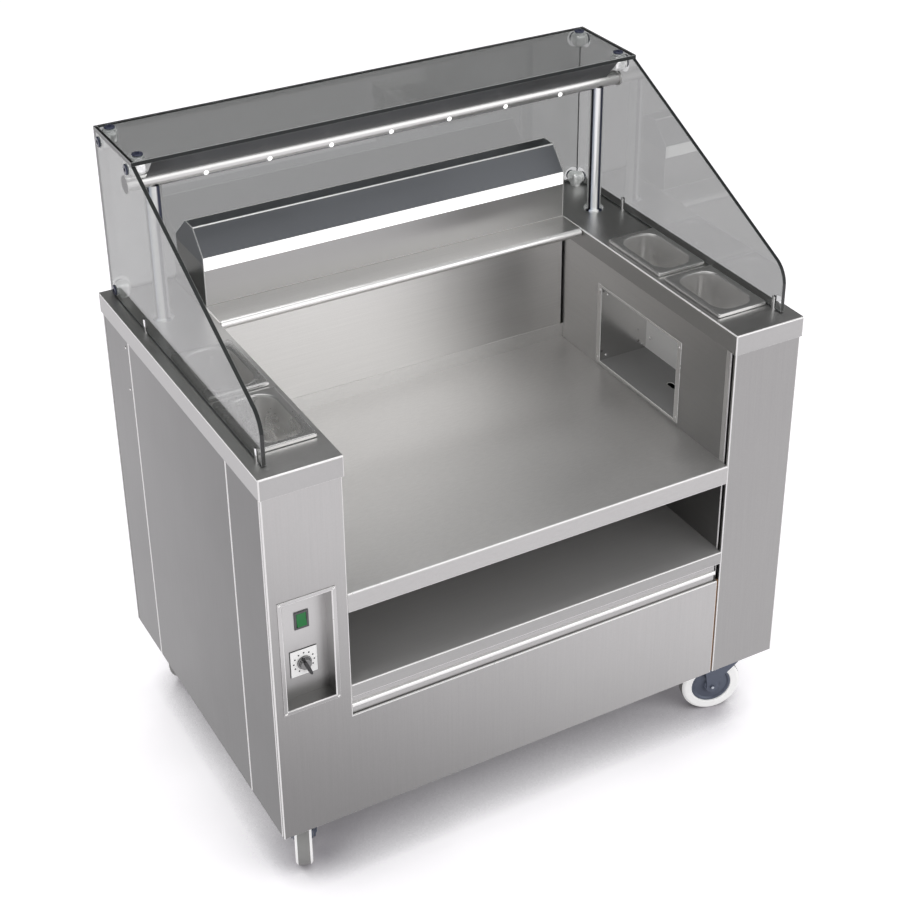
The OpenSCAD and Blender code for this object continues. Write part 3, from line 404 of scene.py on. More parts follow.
def steel(name, colour, grain, strength=0.14, cloud=0.1, rough=0.36, spread=0.1, bump=0.05, metallic=1.0,
          painted_shading=None):
    """Brushed steel; the last argument, (far colour, direction, from, to), paints light and shade along the
    sheet.
    """
    made, tree, shader, _ = new_material(name)
    group = add(tree, "ShaderNodeGroup", node_tree=brushed)
    group.inputs["Colour"].default_value = colour
    if painted_shading:
        ramp = add(tree, "ShaderNodeGroup", node_tree=shade_ramp_group)
        ramp.inputs["Near Colour"].default_value = colour
        for key, value in zip(("Far Colour", "Direction", "From", "To"), painted_shading):
            ramp.inputs[key].default_value = value
        tree.links.new(ramp.outputs["Colour"], group.inputs["Colour"])
    for key, value in {"Streaks": grain, "Streak Strength": strength, "Cloud Strength": cloud,
                       "Roughness": rough, "Roughness Spread": spread}.items():
        group.inputs[key].default_value = value
    shader.inputs["Metallic"].default_value = metallic
    tree.links.new(group.outputs["Colour"], shader.inputs["Base Color"])
    tree.links.new(group.outputs["Roughness"], shader.inputs["Roughness"])
    relief = add(
        tree, "ShaderNodeBump", {"Height": group.outputs["Height"], "Strength": bump, "Distance": 0.0002})
    tree.links.new(relief.outputs[0], shader.inputs["Normal"])
    return made


ALONG_X, ALONG_Y, ALONG_Z = (7, 480, 480), (480, 7, 480), (480, 480, 7)
UP = (0, 0, 1)

# outer sheets
# painted reflection: the sides' dark grey grows paler towards the rear
steel_side = steel("side_steel", grey(0.155, 0.01), ALONG_Z, painted_shading=(grey(0.2, 0.01), (0, 1, 0), -0.35, 0.35))
# painted reflection: the fronts are darker towards the bottom and the left, where they reflect the shaded
# floor
steel_front = steel("front_steel", grey(0.22, 0.012), ALONG_Z,
                    painted_shading=(grey(0.44, 0.012), (0.55, 0, 0.84), -0.15, 0.5))
steel_post = steel("right_front_steel", grey(0.33, 0.012), ALONG_Z)
# painted light: the caps' tops are paler than their skirts
steel_top = steel("top_steel", grey(0.41, 0.01), (60, 260, 60), 0.1, bump=0.02,
                  painted_shading=(grey(0.62, 0.01), UP, 0.9215, 0.9235))
# painted highlight: the pale steel on every bevelled bend and edge of the sheets
steel_edge = steel("painted_highlight_steel", grey(0.85, 0.01), (60, 60, 60), 0.06, 0.06, rough=0.3, metallic=0.35)
# the bay
# painted light: the worktop's top is paler than its front lip
steel_work = steel("worktop_steel", grey(0.46, 0.012), (60, 200, 200), rough=0.42,
                   painted_shading=(grey(0.72, 0.012), UP, 0.640, 0.6445))
steel_wall = steel("wall_steel", grey(0.68, 0.012), ALONG_X, rough=0.34)
# painted shade: the inner walls are darker towards the front and the bottom
steel_inner = steel(
    "inner_steel", grey(0.36, 0.01), ALONG_Y, painted_shading=(grey(0.62, 0.01), (0, 0.75, 0.66), 0.2, 0.62))
steel_shelf = steel("shelf_steel", grey(0.42, 0.01), ALONG_X, rough=0.45, metallic=0.4)
# painted light: the niche's back gets a pale steel
steel_niche = steel("niche_back_steel", grey(0.8, 0.01), ALONG_Y, 0.08, 0.08, rough=0.45, metallic=0.2)
# painted shade: the niche's floor gets a dark steel
steel_dark = steel("dark_steel", grey(0.26), ALONG_Y, 0.1, 0.1, rough=0.45, metallic=0.4)
# trims, pans and what carries them
# painted reflection: the hood is darker and bluer on top than lower down
steel_hood = steel("hood_steel", grey(0.36, 0.01), ALONG_X, 0.03, 0.05, rough=0.3, spread=0.03, bump=0.01,
                   painted_shading=((0.25, 0.26, 0.28, 1), UP, 1.012, 1.014))
# painted shade: the tray is darker towards its bottom
steel_tray = steel("tray_steel", grey(0.33, 0.01), ALONG_Z, 0.08, 0.06, painted_shading=(grey(0.5, 0.01), UP, 0.47, 0.6))
steel_tube = steel("tube_steel", grey(0.55, 0.01), ALONG_X, 0.06, 0.06, rough=0.3)
# painted reflection: the lamp shade is a near-black steel, for the dark surroundings it reflects
steel_shade = steel("shade_steel", (0.075, 0.077, 0.08, 1), ALONG_X, 0.2, 0.2, rough=0.4, metallic=0.5)
steel_roll = steel("roll_steel", grey(0.46, 0.01), ALONG_X, 0.08, 0.06, rough=0.2, metallic=0.45)
# painted highlight: a pale steel on the sill's nosing and the bead's half-round
steel_nose = steel("painted_highlight_nose_steel", grey(0.86, 0.01), ALONG_X, 0.04, 0.04, rough=0.18, metallic=0.5)
steel_bright = steel("bright_steel", grey(0.74, 0.01), ALONG_X, 0.06, 0.06, rough=0.2)
# painted light: the pans' insides are paler than their rims
steel_pan = steel("pan_steel", grey(0.74, 0.01), (60, 60, 60), 0.03, 0.05, rough=0.26, spread=0.03, bump=0.0,
                  metallic=0.8, painted_shading=(grey(0.42, 0.01), UP, 0.9285, 0.9315))
steel_frame = steel("frame_steel", grey(0.42), ALONG_X, rough=0.45)
# polished and plated metal
chrome = steel("chrome", grey(0.82), (40, 40, 40), 0.02, 0.04, rough=0.05, spread=0.02, bump=0.0)
clear_chrome = steel("clear_chrome", grey(0.93), (260, 260, 260), 0.7, 0.1, rough=0.12, spread=0.02, bump=0.3,
                     metallic=0.5)
dark_chrome = steel("dark_chrome", grey(0.2), (40, 40, 40), 0.04, 0.05, rough=0.16, spread=0.03, bump=0.0)
zinc = steel("zinc_plate", (0.5, 0.53, 0.57, 1), (90, 90, 90), 0.2, 0.2, rough=0.42)
print("steels:", sum("steel" in made.name for made in bpy.data.materials))

# %% [markdown]
# ## Glass
# Each pane is 8 mm thick and its ground edges look nearly black, because one looks along the sheet
# through a lot of glass. The colour is therefore clear on the faces and dark where the surface
# looks sideways, with painted light on some edges: those that look up are dark grey and those that
# look back pale. Round each connector the pane is painted clear, a painted light for the polished
# foot behind it that fills the glass with light. Light that only casts a shadow passes straight
# through, so the pans below the glass are lit as they are in a real kitchen.

# %% Glass material
connector_x = 0.501
connector_places = [(0.195, 1.241), (0.337, 1.241), (0.337, 0.940)]      # Y and Z, the same on both sides

edging, e_in, e_out = new_group(
    "Pane colour",
    [("Tint", COLOUR, (0.6, 0.6, 0.6, 1)), ("Flat Axis", VECTOR, (1, 0, 0)), ("Clear Radius", NUMBER, 0.024)],
    [("Colour", COLOUR)],
)
normal = add(edging, "ShaderNodeNewGeometry").outputs["True Normal"]
local = add(edging, "ShaderNodeVectorTransform", {0: normal},
            vector_type="NORMAL", convert_from="WORLD", convert_to="OBJECT").outputs[0]
looks = add(edging, "ShaderNodeSeparateXYZ", {0: local}).outputs
facing = maths(edging, "ABSOLUTE", vector_maths(edging, "DOT_PRODUCT", local, e_in.outputs["Flat Axis"]))
on_face = maths(edging, "GREATER_THAN", facing, 0.9)
# painted light: edges that look up are dark grey and edges that look back pale, instead of near-black
looks_up, looks_back = (maths(edging, "GREATER_THAN", looks[k], 0.5) for k in (2, 1))
upper_edge = mix_colours(edging, looks_up, (0.006, 0.008, 0.008, 1), (0.12, 0.125, 0.12, 1))
rear_edge = mix_colours(edging, looks_back, upper_edge, (0.75, 0.77, 0.76, 1))
spot = vector_maths(edging, "ABSOLUTE", add(edging, "ShaderNodeTexCoord").outputs["Object"])
nearest = 1.0
for y, z in connector_places:
    nearest = maths(edging, "MINIMUM", vector_maths(edging, "DISTANCE", spot, (connector_x, y, z)), nearest)
# painted light: round each connector the glass is painted clear, for the light of the polished foot behind it
foot_light_zone = maths(edging, "LESS_THAN", nearest, e_in.outputs["Clear Radius"])
body_tint = mix_colours(edging, foot_light_zone, e_in.outputs["Tint"], (0.97, 0.98, 0.98, 1))
edging.links.new(mix_colours(edging, on_face, rear_edge, body_tint), e_out.inputs["Colour"])


def glass(name, flat_axis, tint):
    """Tinted pane whose faces look along flat_axis (0, 1 or 2); every other direction counts as an edge."""
    made, tree, shader, output = new_material(name)
    group = add(tree, "ShaderNodeGroup", node_tree=edging)
    group.inputs["Tint"].default_value = (*tint, 1)
    group.inputs["Flat Axis"].default_value = [float(k == flat_axis) for k in range(3)]
    tree.links.new(group.outputs["Colour"], shader.inputs["Base Color"])
    shader.inputs["Transmission Weight"].default_value = 1.0
    shader.inputs["Roughness"].default_value = 0.0
    shader.inputs["IOR"].default_value = 1.6
    clear = add(tree, "ShaderNodeBsdfTransparent", {0: (0.86, 0.88, 0.87, 1)})
    way = add(tree, "ShaderNodeLightPath").outputs
    passing = maths(tree, "MAXIMUM", way["Is Shadow Ray"], way["Is Diffuse Ray"])
    both = add(tree, "ShaderNodeMixShader", {0: passing, 1: shader.outputs[0], 2: clear.outputs[0]})
    tree.links.new(both.outputs[0], output.inputs[0])
    return made


glass_left = glass("left_pane", 0, (0.52, 0.53, 0.52))
glass_right = glass("right_pane", 0, (0.36, 0.365, 0.36))
glass_top = glass("top_pane", 2, (0.74, 0.745, 0.74))
glass_rear = glass("rear_pane", 1, (0.27, 0.275, 0.27))
print("panes: 4 tints on one group of", len(edging.nodes), "nodes")

# %% [markdown]
# ## Plastics, lamps and paint
# Moulded plastic and paint are never one flat colour: they are faintly mottled, and the mottling also
# changes their gloss. One noise drives the colour, the roughness and a slight bump. A lamp is the
# same finish that also sends out its own colour. The white plastic and the white tyre glow faintly
# too, though they are no lamps: that glow is painted light, and the grey tread is painted shade on
# the same rubber.

# %% Plastics, lamps and paint
def plain(name, colour, rough, metallic=0.0, mottling=0.15, scale=60.0, bump=0.04, glow=0.0):
    """A moulded or painted finish with slight mottling from noise; glow makes it shine."""
    made, tree, shader, _ = new_material(name)
    cloudy = noise(tree, add(tree, "ShaderNodeTexCoord").outputs["Object"], scale, 3.0)
    level = maths(tree, "MULTIPLY_ADD", maths(tree, "SUBTRACT", cloudy, 0.5), mottling, 1.0)
    colours = vector_maths(tree, "SCALE", colour, scale=level)
    tree.links.new(colours, shader.inputs["Base Color"])
    uneven = maths(tree, "MULTIPLY_ADD", maths(tree, "SUBTRACT", cloudy, 0.5), 0.15, rough)
    tree.links.new(uneven, shader.inputs["Roughness"])
    relief = add(tree, "ShaderNodeBump", {"Height": cloudy, "Strength": bump, "Distance": 0.0005})
    tree.links.new(relief.outputs[0], shader.inputs["Normal"])
    shader.inputs["Metallic"].default_value = metallic
    if glow:
        tree.links.new(colours, shader.inputs["Emission Color"])
        shader.inputs["Emission Strength"].default_value = glow
    return made


black_plastic = plain("black_plastic", (0.02, 0.02, 0.022), 0.4)
bezel_plastic = plain("bezel_plastic", (0.09, 0.09, 0.095), 0.3)
brown_seal = plain("brown_seal", (0.24, 0.13, 0.06), 0.6)
# painted light: the white plastic glows faintly though it is no lamp
white_plastic = plain("white_plastic", (0.93, 0.93, 0.92), 0.35, mottling=0.03, glow=0.2)
grey_plastic = plain("grey_plastic", (0.4, 0.42, 0.44), 0.5)
green_lens = plain("green_lens", (0.0, 0.15, 0.028), 0.4, mottling=0.3, scale=25.0, glow=0.2)
slate_paint = plain("slate_paint", (0.105, 0.122, 0.165), 0.38, metallic=0.3, mottling=0.2)
# painted light: the tyre's sides glow faintly though they are no lamp, and the tread's darker grey is painted
# shade on the same rubber
white_tyre = plain("white_tyre", (0.9, 0.9, 0.89), 0.5, mottling=0.05, glow=0.25)
tyre_tread = plain("tyre_tread", (0.3, 0.3, 0.29), 0.55, mottling=0.1)
ground_arris = plain("ground_arris", (0.3, 0.31, 0.31), 0.35, mottling=0.05)
sealed_edge = plain("sealed_glass_edge", (0.004, 0.006, 0.006), 0.6, mottling=0.3)
cap_finish = plain("blue_black_cap", (0.035, 0.04, 0.07), 0.15, metallic=0.3, mottling=0.3, scale=200.0)
opal = plain("opal_cover", (0.93, 0.93, 0.92), 0.4, mottling=0.02, glow=0.9)
lamp = plain("lamp_body", (0.95, 0.94, 0.9), 0.4, mottling=0.03, glow=0.6)
spot_light = plain("spot_lens", (1.0, 1.0, 0.98), 0.3, mottling=0.02, glow=1.2)
print("materials so far:", len(bpy.data.materials))

# %% Finishes of the nodes that keep their measured shape
finishes = {
    steel_frame: ["base_frame", "base_pan"], steel_tube: ["light_tube"], steel_shade: ["light_shade"],
    opal: ["light_diffuser"], lamp: ["strip_lamp"], spot_light: ["led_spots"],
    black_plastic: ["rotary_switch", "cable_gland"],
    white_plastic: ["led_driver"], grey_plastic: ["control_box"],
}
for finish, names in finishes.items():
    for name in names:
        nodes[name].data.materials.clear()
        nodes[name].data.materials.append(finish)
print("nodes with a finish of their own:", sum(len(names) for names in finishes.values()))

# %% [markdown]
# ## Folded sheets
# The body is made of folded sheets whose bends show as fine bright lines: the bevel of each bend
# gets a pale steel, a painted highlight. Most of them need only their steel and the rounding from
# above. The sill behind the bay has a pale wall, a duller back and a nosing in a pale steel that is
# a painted highlight, so two rules look at which way each face looks and how high it sits.

# %% Round the folded sheets
X, Y, Z = range(3)
sheets = {
    "front_cover": steel_front, "right_front_panel": steel_post, "back_panel": steel_front,
    "left_side_front": steel_side, "left_side_middle": steel_side, "left_side_rear": steel_side,
    "right_side_front": steel_side, "right_side_middle": steel_side, "right_side_rear": steel_side,
    "left_inner_wall": steel_inner, "right_inner_wall": steel_inner,
    "left_cap": steel_top, "right_cap": steel_top,
    "worktop": steel_work, "rear_wall": steel_wall, "shelf": steel_shelf,
    "hood_shell": steel_hood, "hood_ends": steel_hood,
}
for name, finish in sheets.items():
    softened(name, finish, edge=steel_edge)
# painted highlight: faces high on the sill that look forward and up get the pale nose steel
softened("sill", [steel_wall, steel_nose, steel_top], edge=steel_nose, rules=[
    (2, lambda look, at: look[:, Y] > 0.9),
    (1, lambda look, at: (look[:, Y] < -0.35) & (look[:, Z] > 0.1) & (at[:, Z] > 0.895)),
])
print("sheets rounded:", len(sheets) + 1)

# %% [markdown]
# ## Bead, tray and niche
# A half-round bead runs along the groove over the low cover, in a pale steel that is a painted
# highlight. It is half a circle carried from one tower to the other, on a flat strip. The tray of the
# controls and the niche are folded from thinner sheet, so their bends are smaller. The niche's floor
# lies in shade, painted as a dark steel, and its back gets a pale steel as painted light.

# %% Bead, tray and niche
bead_ends = (-0.397, 0.387)
bead_radius, bead_y, bead_z = 0.0055, -0.3644, 0.4005
bow = np.radians(np.linspace(-90, 90, 13))
bead = np.column_stack([bead_y - bead_radius * np.cos(bow), bead_z + bead_radius * np.sin(bow)])
strip = block((bead_ends[0], -0.3645, 0.3818), (bead_ends[1], -0.3620, 0.4192))
half_round = prism(bead, *bead_ends, axis=X)
piece("front_bead", [(*strip, 0), (*half_round, 1)], "cart", [steel_roll, steel_nose], "front_trim")
softened("control_recess", steel_tray, 0.0018, edge=steel_edge)
# painted shade on the niche's floor and painted light on its back
softened("niche_box", [steel_bright, steel_dark, steel_niche], 0.0012, 0.0008, edge=steel_edge, rules=[
    (1, lambda look, at: (look[:, Z] > 0.9) & (at[:, X] > 0.4)),
    (2, lambda look, at: (look[:, X] < -0.9) & (at[:, X] > 0.45)),
])
print("bead:", round(bead_ends[1] - bead_ends[0], 3), "m long")

# %% [markdown]
# ## Panes
# A pane's rim is ground: a narrow bevel, the arris, takes off its sharp corners and reads as a fine
# grey line beside the dark edge. The edges that one looks into along the whole sheet get a nearly
# black finish of their own: the sloped fronts of the side panes, their lower edges and the front of
# the top pane. Clear glass would show the room there and lose the crisp line.

# %% Panes
panes = {
    "left_glass": glass_left, "right_glass": glass_right, "top_glass": glass_top, "rear_glass": glass_rear,
}
for name, finish in panes.items():
    softened(name, [finish, sealed_edge], 0.0005, 0.0005, edge=ground_arris, rules=[
        (1, lambda look, at: (look[:, Y] < -0.3) & (look[:, Y] > -0.99)),
        (1, lambda look, at: (look[:, Z] < -0.9) & (at[:, Z] < 1.0)),
        (1, lambda look, at: (look[:, Y] < -0.99) & (at[:, Z] > 1.25)),
    ])
print("panes:", len(panes))

# %% [markdown]
# ## Lift-out pans
# A catering pan is pressed from one sheet: a flat rim with rolled edges, an opening with large round
# corners, straight walls and a round floor edge. Every level of it is a rectangle with round corners,
# so the whole pan is one stack of such rings, each with its own size, corner radius and height. That
# is quicker and cleaner than pushing a box into shape, and the Solidify modifier gives it its sheet.

# %% Pans
def rounded_ring(half_x, half_y, corner, per_corner=9):
    """Points round a rectangle with round corners: each corner's centre plus its radius times (cos, sin)."""
    angle = (np.arange(4)[:, None] * 90 + np.linspace(0, 90, per_corner)[None, :]) * math.pi / 180
    sign_x, sign_y = np.array([1, -1, -1, 1])[:, None], np.array([1, 1, -1, -1])[:, None]
    x = sign_x * (half_x - corner) + corner * np.cos(angle)
    y = sign_y * (half_y - corner) + corner * np.sin(angle)
    return np.stack([x, y], -1).reshape(-1, 2)


# distance in from the rim's outer edge, corner radius and height, all in millimetres
pan_half_x, pan_half_y, pan_sheet = 54, 88, 0.6
pan_levels = [
    (0.9, 3.0, 925.9), (0.1, 3.2, 926.3), (0.0, 3.4, 929.8),
    (0.5, 3.6, 931.5), (1.6, 4.2, 932.6), (3.0, 5.0, 932.9),
    (9.6, 29.0, 932.5), (11.4, 31.0, 932.2), (12.5, 32.0, 931.3), (13.0, 32.0, 929.8), (13.2, 31.8, 924.0),
    (15.2, 29.5, 856.0), (16.0, 28.5, 847.0), (18.2, 26.0, 840.6), (22.0, 22.0, 837.3), (27.0, 17.0, 836.2),
    (45.0, 8.0, 835.9),
]


def pan_surface(centre_x, centre_y):
    """Stack the rings of the pan; the last ring shrinks to a point in the middle of the floor."""
    rings = []
    for inset, corner, height in pan_levels:
        ring = rounded_ring(pan_half_x - inset, pan_half_y - inset, corner)
        rings.append(np.column_stack([ring, np.full(len(ring), height)]))
    rings.append(rings[-1] * (0, 0, 1))
    return surface(np.array(rings) / 1000 + np.array((centre_x, centre_y, 0)))


pan_places = {"left_front": (-0.46, -0.213), "left_rear": (-0.46, -0.021),
              "right_front": (0.46, -0.213), "right_rear": (0.46, -0.021)}
for name, (x, y) in pan_places.items():
    pan = piece(
        "pan_" + name, [pan_surface(x, y)], "container_" + name, steel_pan, "container_" + name, smooth=60)
    wall = pan.modifiers.new("sheet", "SOLIDIFY")
    wall.thickness, wall.offset = pan_sheet / 1000, -1.0
print("pan:", len(pan.data.polygons), "faces")

# %% [markdown]
# ## Pane connectors
# Each corner of the glass guard is held by a polished block with a round foot against each pane and a
# dark cap on the far side of the glass. The block is a superellipsoid: the sum of the fourth powers
# of its three coordinates is constant, which gives a cube with generous round edges. The feet and
# the caps are turned on a lathe, as the real ones are.

# %% Connectors and their caps
def soft_cube(centre, half, power=4.0, rows=17, columns=32):
    """Superellipsoid: a direction on a sphere, divided by the power norm of its coordinates."""
    v = np.linspace(-math.pi / 2, math.pi / 2, rows)[:, None]
    u = np.linspace(0, 2 * math.pi, columns, endpoint=False)[None, :]
    way = np.stack([np.cos(v) * np.cos(u), np.cos(v) * np.sin(u), np.sin(v) + 0 * u], -1)
    reach = (np.abs(way) ** power).sum(-1, keepdims=True) ** (1 / power)
    return surface(way / reach * half + np.array(centre))


def arc(radius, height, r0, h0, start, stop, count=5):
    """Points on a quarter ellipse round (r0, h0), for the round edge of a turned profile."""
    t = np.radians(np.linspace(start, stop, count))
    return [(r0 + radius * math.cos(a), h0 + height * math.sin(a)) for a in t]


cap_profile = [(0, -0.0002), (0.0100, -0.0002)] + arc(0.0014, 0.0018, 0.0088, 0.0010, -10, 90)
cap_profile += [(0.0040, 0.0029), (0.0038, 0.0014), (0, 0.0012)]
foot_profile = [(0, 0), (0.0112, 0)] + arc(0.0008, 0.0008, 0.0108, 0.0012, 0, 90, 4)
foot_profile += [(0.0100, 0.0034), (0, 0.0036)]
seat_profile = [(0, 0), (0.0105, 0), (0.0105, 0.003), (0.009, 0.004), (0, 0.004)]
tower_top = 0.925
# inner and outer faces of the panes
side_in, side_out, top_in, top_out, rear_in, rear_out = 0.516, 0.524, 1.256, 1.264, 0.352, 0.360
blocks, caps = [], []
for side in (-1, 1):
    for y, z in connector_places:
        x = side * connector_x
        blocks.append(soft_cube((x, y, z), 0.0128))
        held = [((side * side_in, y, z), (side * side_out, y, z), (side, 0, 0))]
        if z > 1.2:
            held.append(((x, y, top_in), (x, y, top_out), UP))
        if y > 0.3:
            held.append(((x, rear_in, z), (x, rear_out, z), (0, 1, 0)))
        for inner, outer, way in held:
            blocks.append(lathe(foot_profile, inner, -np.array(way), 40))
            caps.append(lathe(cap_profile, outer, way, 40))
        if z < 1:
            blocks.append(lathe(seat_profile, (x, y, tower_top), UP, 40))
piece("pane_connectors", blocks, "cart", clear_chrome, "glass_connectors", smooth=50)
piece("connector_cap_set", caps, "cart", cap_finish, "connector_caps")
print("connectors:", len(blocks), "shapes")

# %% [markdown]
# ## The room in a polished post
# A polished round post shows the whole room as upright stripes. The plain studio here has little to
# show, so the stripes are painted on: a group works out the angle round the post with an arctangent
# and looks up its tone on a Color Ramp. The stripes belong to the post and stay where they are when
# the camera moves. Both posts share the group, which finds out from X which post it is on.

# %% A shader group for the stripes of a post
post_x, post_y = 0.469, 0.217
bands, b_in, b_out = new_group(
    "Room in a post", [("Middle", VECTOR, (post_x, post_y, 0))], [("Colour", COLOUR)])
at = add(bands, "ShaderNodeSeparateXYZ", {0: add(bands, "ShaderNodeTexCoord").outputs["Object"]}).outputs
middle = add(bands, "ShaderNodeSeparateXYZ", {0: b_in.outputs["Middle"]}).outputs
is_right = maths(bands, "GREATER_THAN", at[X], 0.0)
side_sign = maths(bands, "SUBTRACT", maths(bands, "MULTIPLY", is_right, 2.0), 1.0)
from_middle_x = maths(bands, "SUBTRACT", at[X], maths(bands, "MULTIPLY", side_sign, middle[X]))
from_middle_y = maths(bands, "SUBTRACT", at[Y], middle[Y])
angle_round = maths(bands, "ARCTAN2", from_middle_y, from_middle_x)
ramp = add(
    bands, "ShaderNodeValToRGB", {"Fac": maths(bands, "MULTIPLY_ADD", angle_round, 1 / (2 * math.pi), 0.5)})
stops = [
    (0.0, (0.5, 0.5, 0.5, 1)), (0.03, (0.02, 0.02, 0.025, 1)), (0.075, (0.02, 0.02, 0.03, 1)),
    (0.09, (0.55, 0.6, 0.72, 1)), (0.13, (0.8, 0.82, 0.86, 1)), (0.16, (0.97, 0.97, 0.97, 1)),
    (0.225, (0.95, 0.95, 0.95, 1)), (0.245, (0.3, 0.3, 0.32, 1)), (0.26, (0.02, 0.025, 0.05, 1)),
    (0.31, (0.03, 0.035, 0.06, 1)), (0.33, (0.6, 0.6, 0.6, 1)), (0.5, (0.7, 0.7, 0.7, 1)),
    (0.7, (0.15, 0.15, 0.16, 1)), (0.85, (0.8, 0.8, 0.8, 1)),
]
while len(ramp.color_ramp.elements) < len(stops):
    ramp.color_ramp.elements.new(0.5)
for element, (position, colour) in zip(ramp.color_ramp.elements, stops):
    element.position, element.color = position, colour
bands.links.new(ramp.outputs[0], b_out.inputs[0])
post_chrome, tree, shader, _ = new_material("post_chrome")
tree.links.new(add(tree, "ShaderNodeGroup", node_tree=bands).outputs[0], shader.inputs["Base Color"])
shader.inputs["Metallic"].default_value = 0.45
shader.inputs["Roughness"].default_value = 0.18
print("group:", bands.name, "with", len(stops), "tones")

# %% [markdown]
# ## Posts, rings and pins
# Two polished posts carry the light tube. Their foot rings hide the cut-outs in the tower tops. The
# small slotted pins hold the side panes upright. All of them are round, so a lathe profile makes
# each; only the slot of a pin needs the measured solid with its edges rounded.

# %% Posts, rings and pins
post_top = 1.193
post_profile = [
    (0.012, tower_top), (0.014, tower_top), (0.014, post_top), (0.012, post_top), (0.012, tower_top),
]
ring_profile = [(0.0141, 0.0), (0.0205, 0.0), (0.0205, 0.0022)] + arc(0.0018, 0.0018, 0.0187, 0.0022, 0, 90)
ring_profile += [(0.0141, 0.004), (0.0141, 0.0)]
posts = []
for side in (-1, 1):
    posts.append(lathe(post_profile, (side * post_x, post_y, 0), steps=64))
    posts.append(lathe(ring_profile, (side * post_x, post_y, tower_top), steps=64))
piece("polished_posts", posts, "cart", post_chrome, "posts")
softened("glass_pins", [chrome, black_plastic], 0.0005, 0.0005, edge=chrome,
         rules=[(1, lambda look, at: at[:, Z] > 0.9485)])
print("posts:", round(post_top - tower_top, 3), "m high")

# %% [markdown]
# ## Screws
# A pan-head screw is a low dome with a socket for the driver. At this size the dome and a small dark
# dip read well enough, so each screw is one lathe profile that sinks in the middle. The rivets inside
# the niche get the same profile.

# %% Screws
dome = [(0.0012 + 0.0016 * t, 0.0014 - 0.0010 * t * t) for t in (0.1, 0.4, 0.7, 1.0)]
screw_profile = [(0.0, 0.0007), (0.0011, 0.0007), (0.0012, 0.0013)] + dome + [(0.003, 0.0), (0.0, 0.0)]
screw_places = []                                            # a place and the way the screw looks
for i in (-1, 1):
    for j in (-1, 1):                                        # tray of the controls, then the niche's frame
        screw_places.append(((-0.473 + i * 0.050, -0.3715, 0.553 + j * 0.116), (0, -1, 0)))
        screw_places.append(((0.3955, -0.0625 + i * 0.1375, 0.7415 + j * 0.0775), (-1, 0, 0)))
    screw_places += [((i * 0.543, 0.250, z), (i, 0, 0)) for z in (0.774, 0.864)]
screw_places += [((x, 0.0598, z), (0, -1, 0)) for x, z in ((0.406, 0.812), (0.406, 0.672), (0.497, 0.672))]
screw_places += [((0.5048, y, 0.690), (-1, 0, 0)) for y in (0.046, -0.171)]
screws = [lathe(screw_profile, place, way, 20) for place, way in screw_places]
piece("screw_heads", screws, "cart", steel_bright, "panel_screws", smooth=35)
print("screws and rivets:", len(screws))

# %% [markdown]
# ## Switch, dial and knob
# The controls sit in a tray in the left tower: a lit rocker switch in a bezel, and a turning knob on
# a white plate with marks round it. The rocker's face is a shallow valley, so its height depends on
# the square of the distance from the middle. The side view is tipped and carried across the switch.

# %% Rocker switch
control_x = -0.473
rocker_y, rocker_z, rocker_half, rocker_tip = -0.338, 0.603, 0.009, math.radians(-7)
v = np.linspace(-1, 1, 25)
face = np.column_stack([-0.0012 - 0.0018 * v**2, 0.0128 * v])
back = np.array([(0.004, 0.0128), (0.010, 0.0), (0.004, -0.0128)])
side_view = np.concatenate([face, back]) - (0.004, 0)
c, s = math.cos(rocker_tip), math.sin(rocker_tip)
side_view = np.column_stack(
    [side_view[:, 0] * c - side_view[:, 1] * s, side_view[:, 0] * s + side_view[:, 1] * c])
rocker = prism(side_view + (rocker_y, rocker_z), control_x - rocker_half, control_x + rocker_half, axis=X)
piece("rocker_lens", [rocker], "rocker", green_lens, "rocker", bevel=0.0005, smooth=50)
softened("switch_housing", bezel_plastic, 0.0005, 0.0005)
print("rocker tipped by", round(math.degrees(rocker_tip)), "degrees")

# %% Dial plate with marks
dial = np.array((control_x, -0.342, 0.513))
mark_ring, mark_profile = 0.0195, [(0, 0), (0.0016, 0), (0.0016, 0.0002), (0, 0.0002)]
marks = []
for step in range(11):
    angle = math.radians(-120 - step * 30)
    place = dial + mark_ring * np.array((math.cos(angle), 0, math.sin(angle))) + (0, -0.0015, 0)
    marks.append(lathe(mark_profile, place, (0, -1, 0), 12))
softened("dial_plate", white_plastic, 0.0004, 0.0004)
# painted shadow: a black plate just behind the dial plate, a little larger, draws a dark line along its top
# and left edges
painted_shadow_plate = block((-0.4994, -0.3428, 0.4856), (-0.4480, -0.3419, 0.5414))
piece("dial_painted_shadow_plate", [painted_shadow_plate], "cart", black_plastic, bevel=0.0002)
piece("dial_marks", marks, "cart", black_plastic)
print("marks round the dial:", len(marks))

# %% [markdown]
# ## The knob's skirt and grip
# The knob has a turned skirt and a narrow grip that points to the chosen step. The grip is a stack of
# rings again. Each ring is a circle whose cosine and sine are raised to a power below one, which
# fills out its corners, then made long and narrow and turned to the way the knob points.

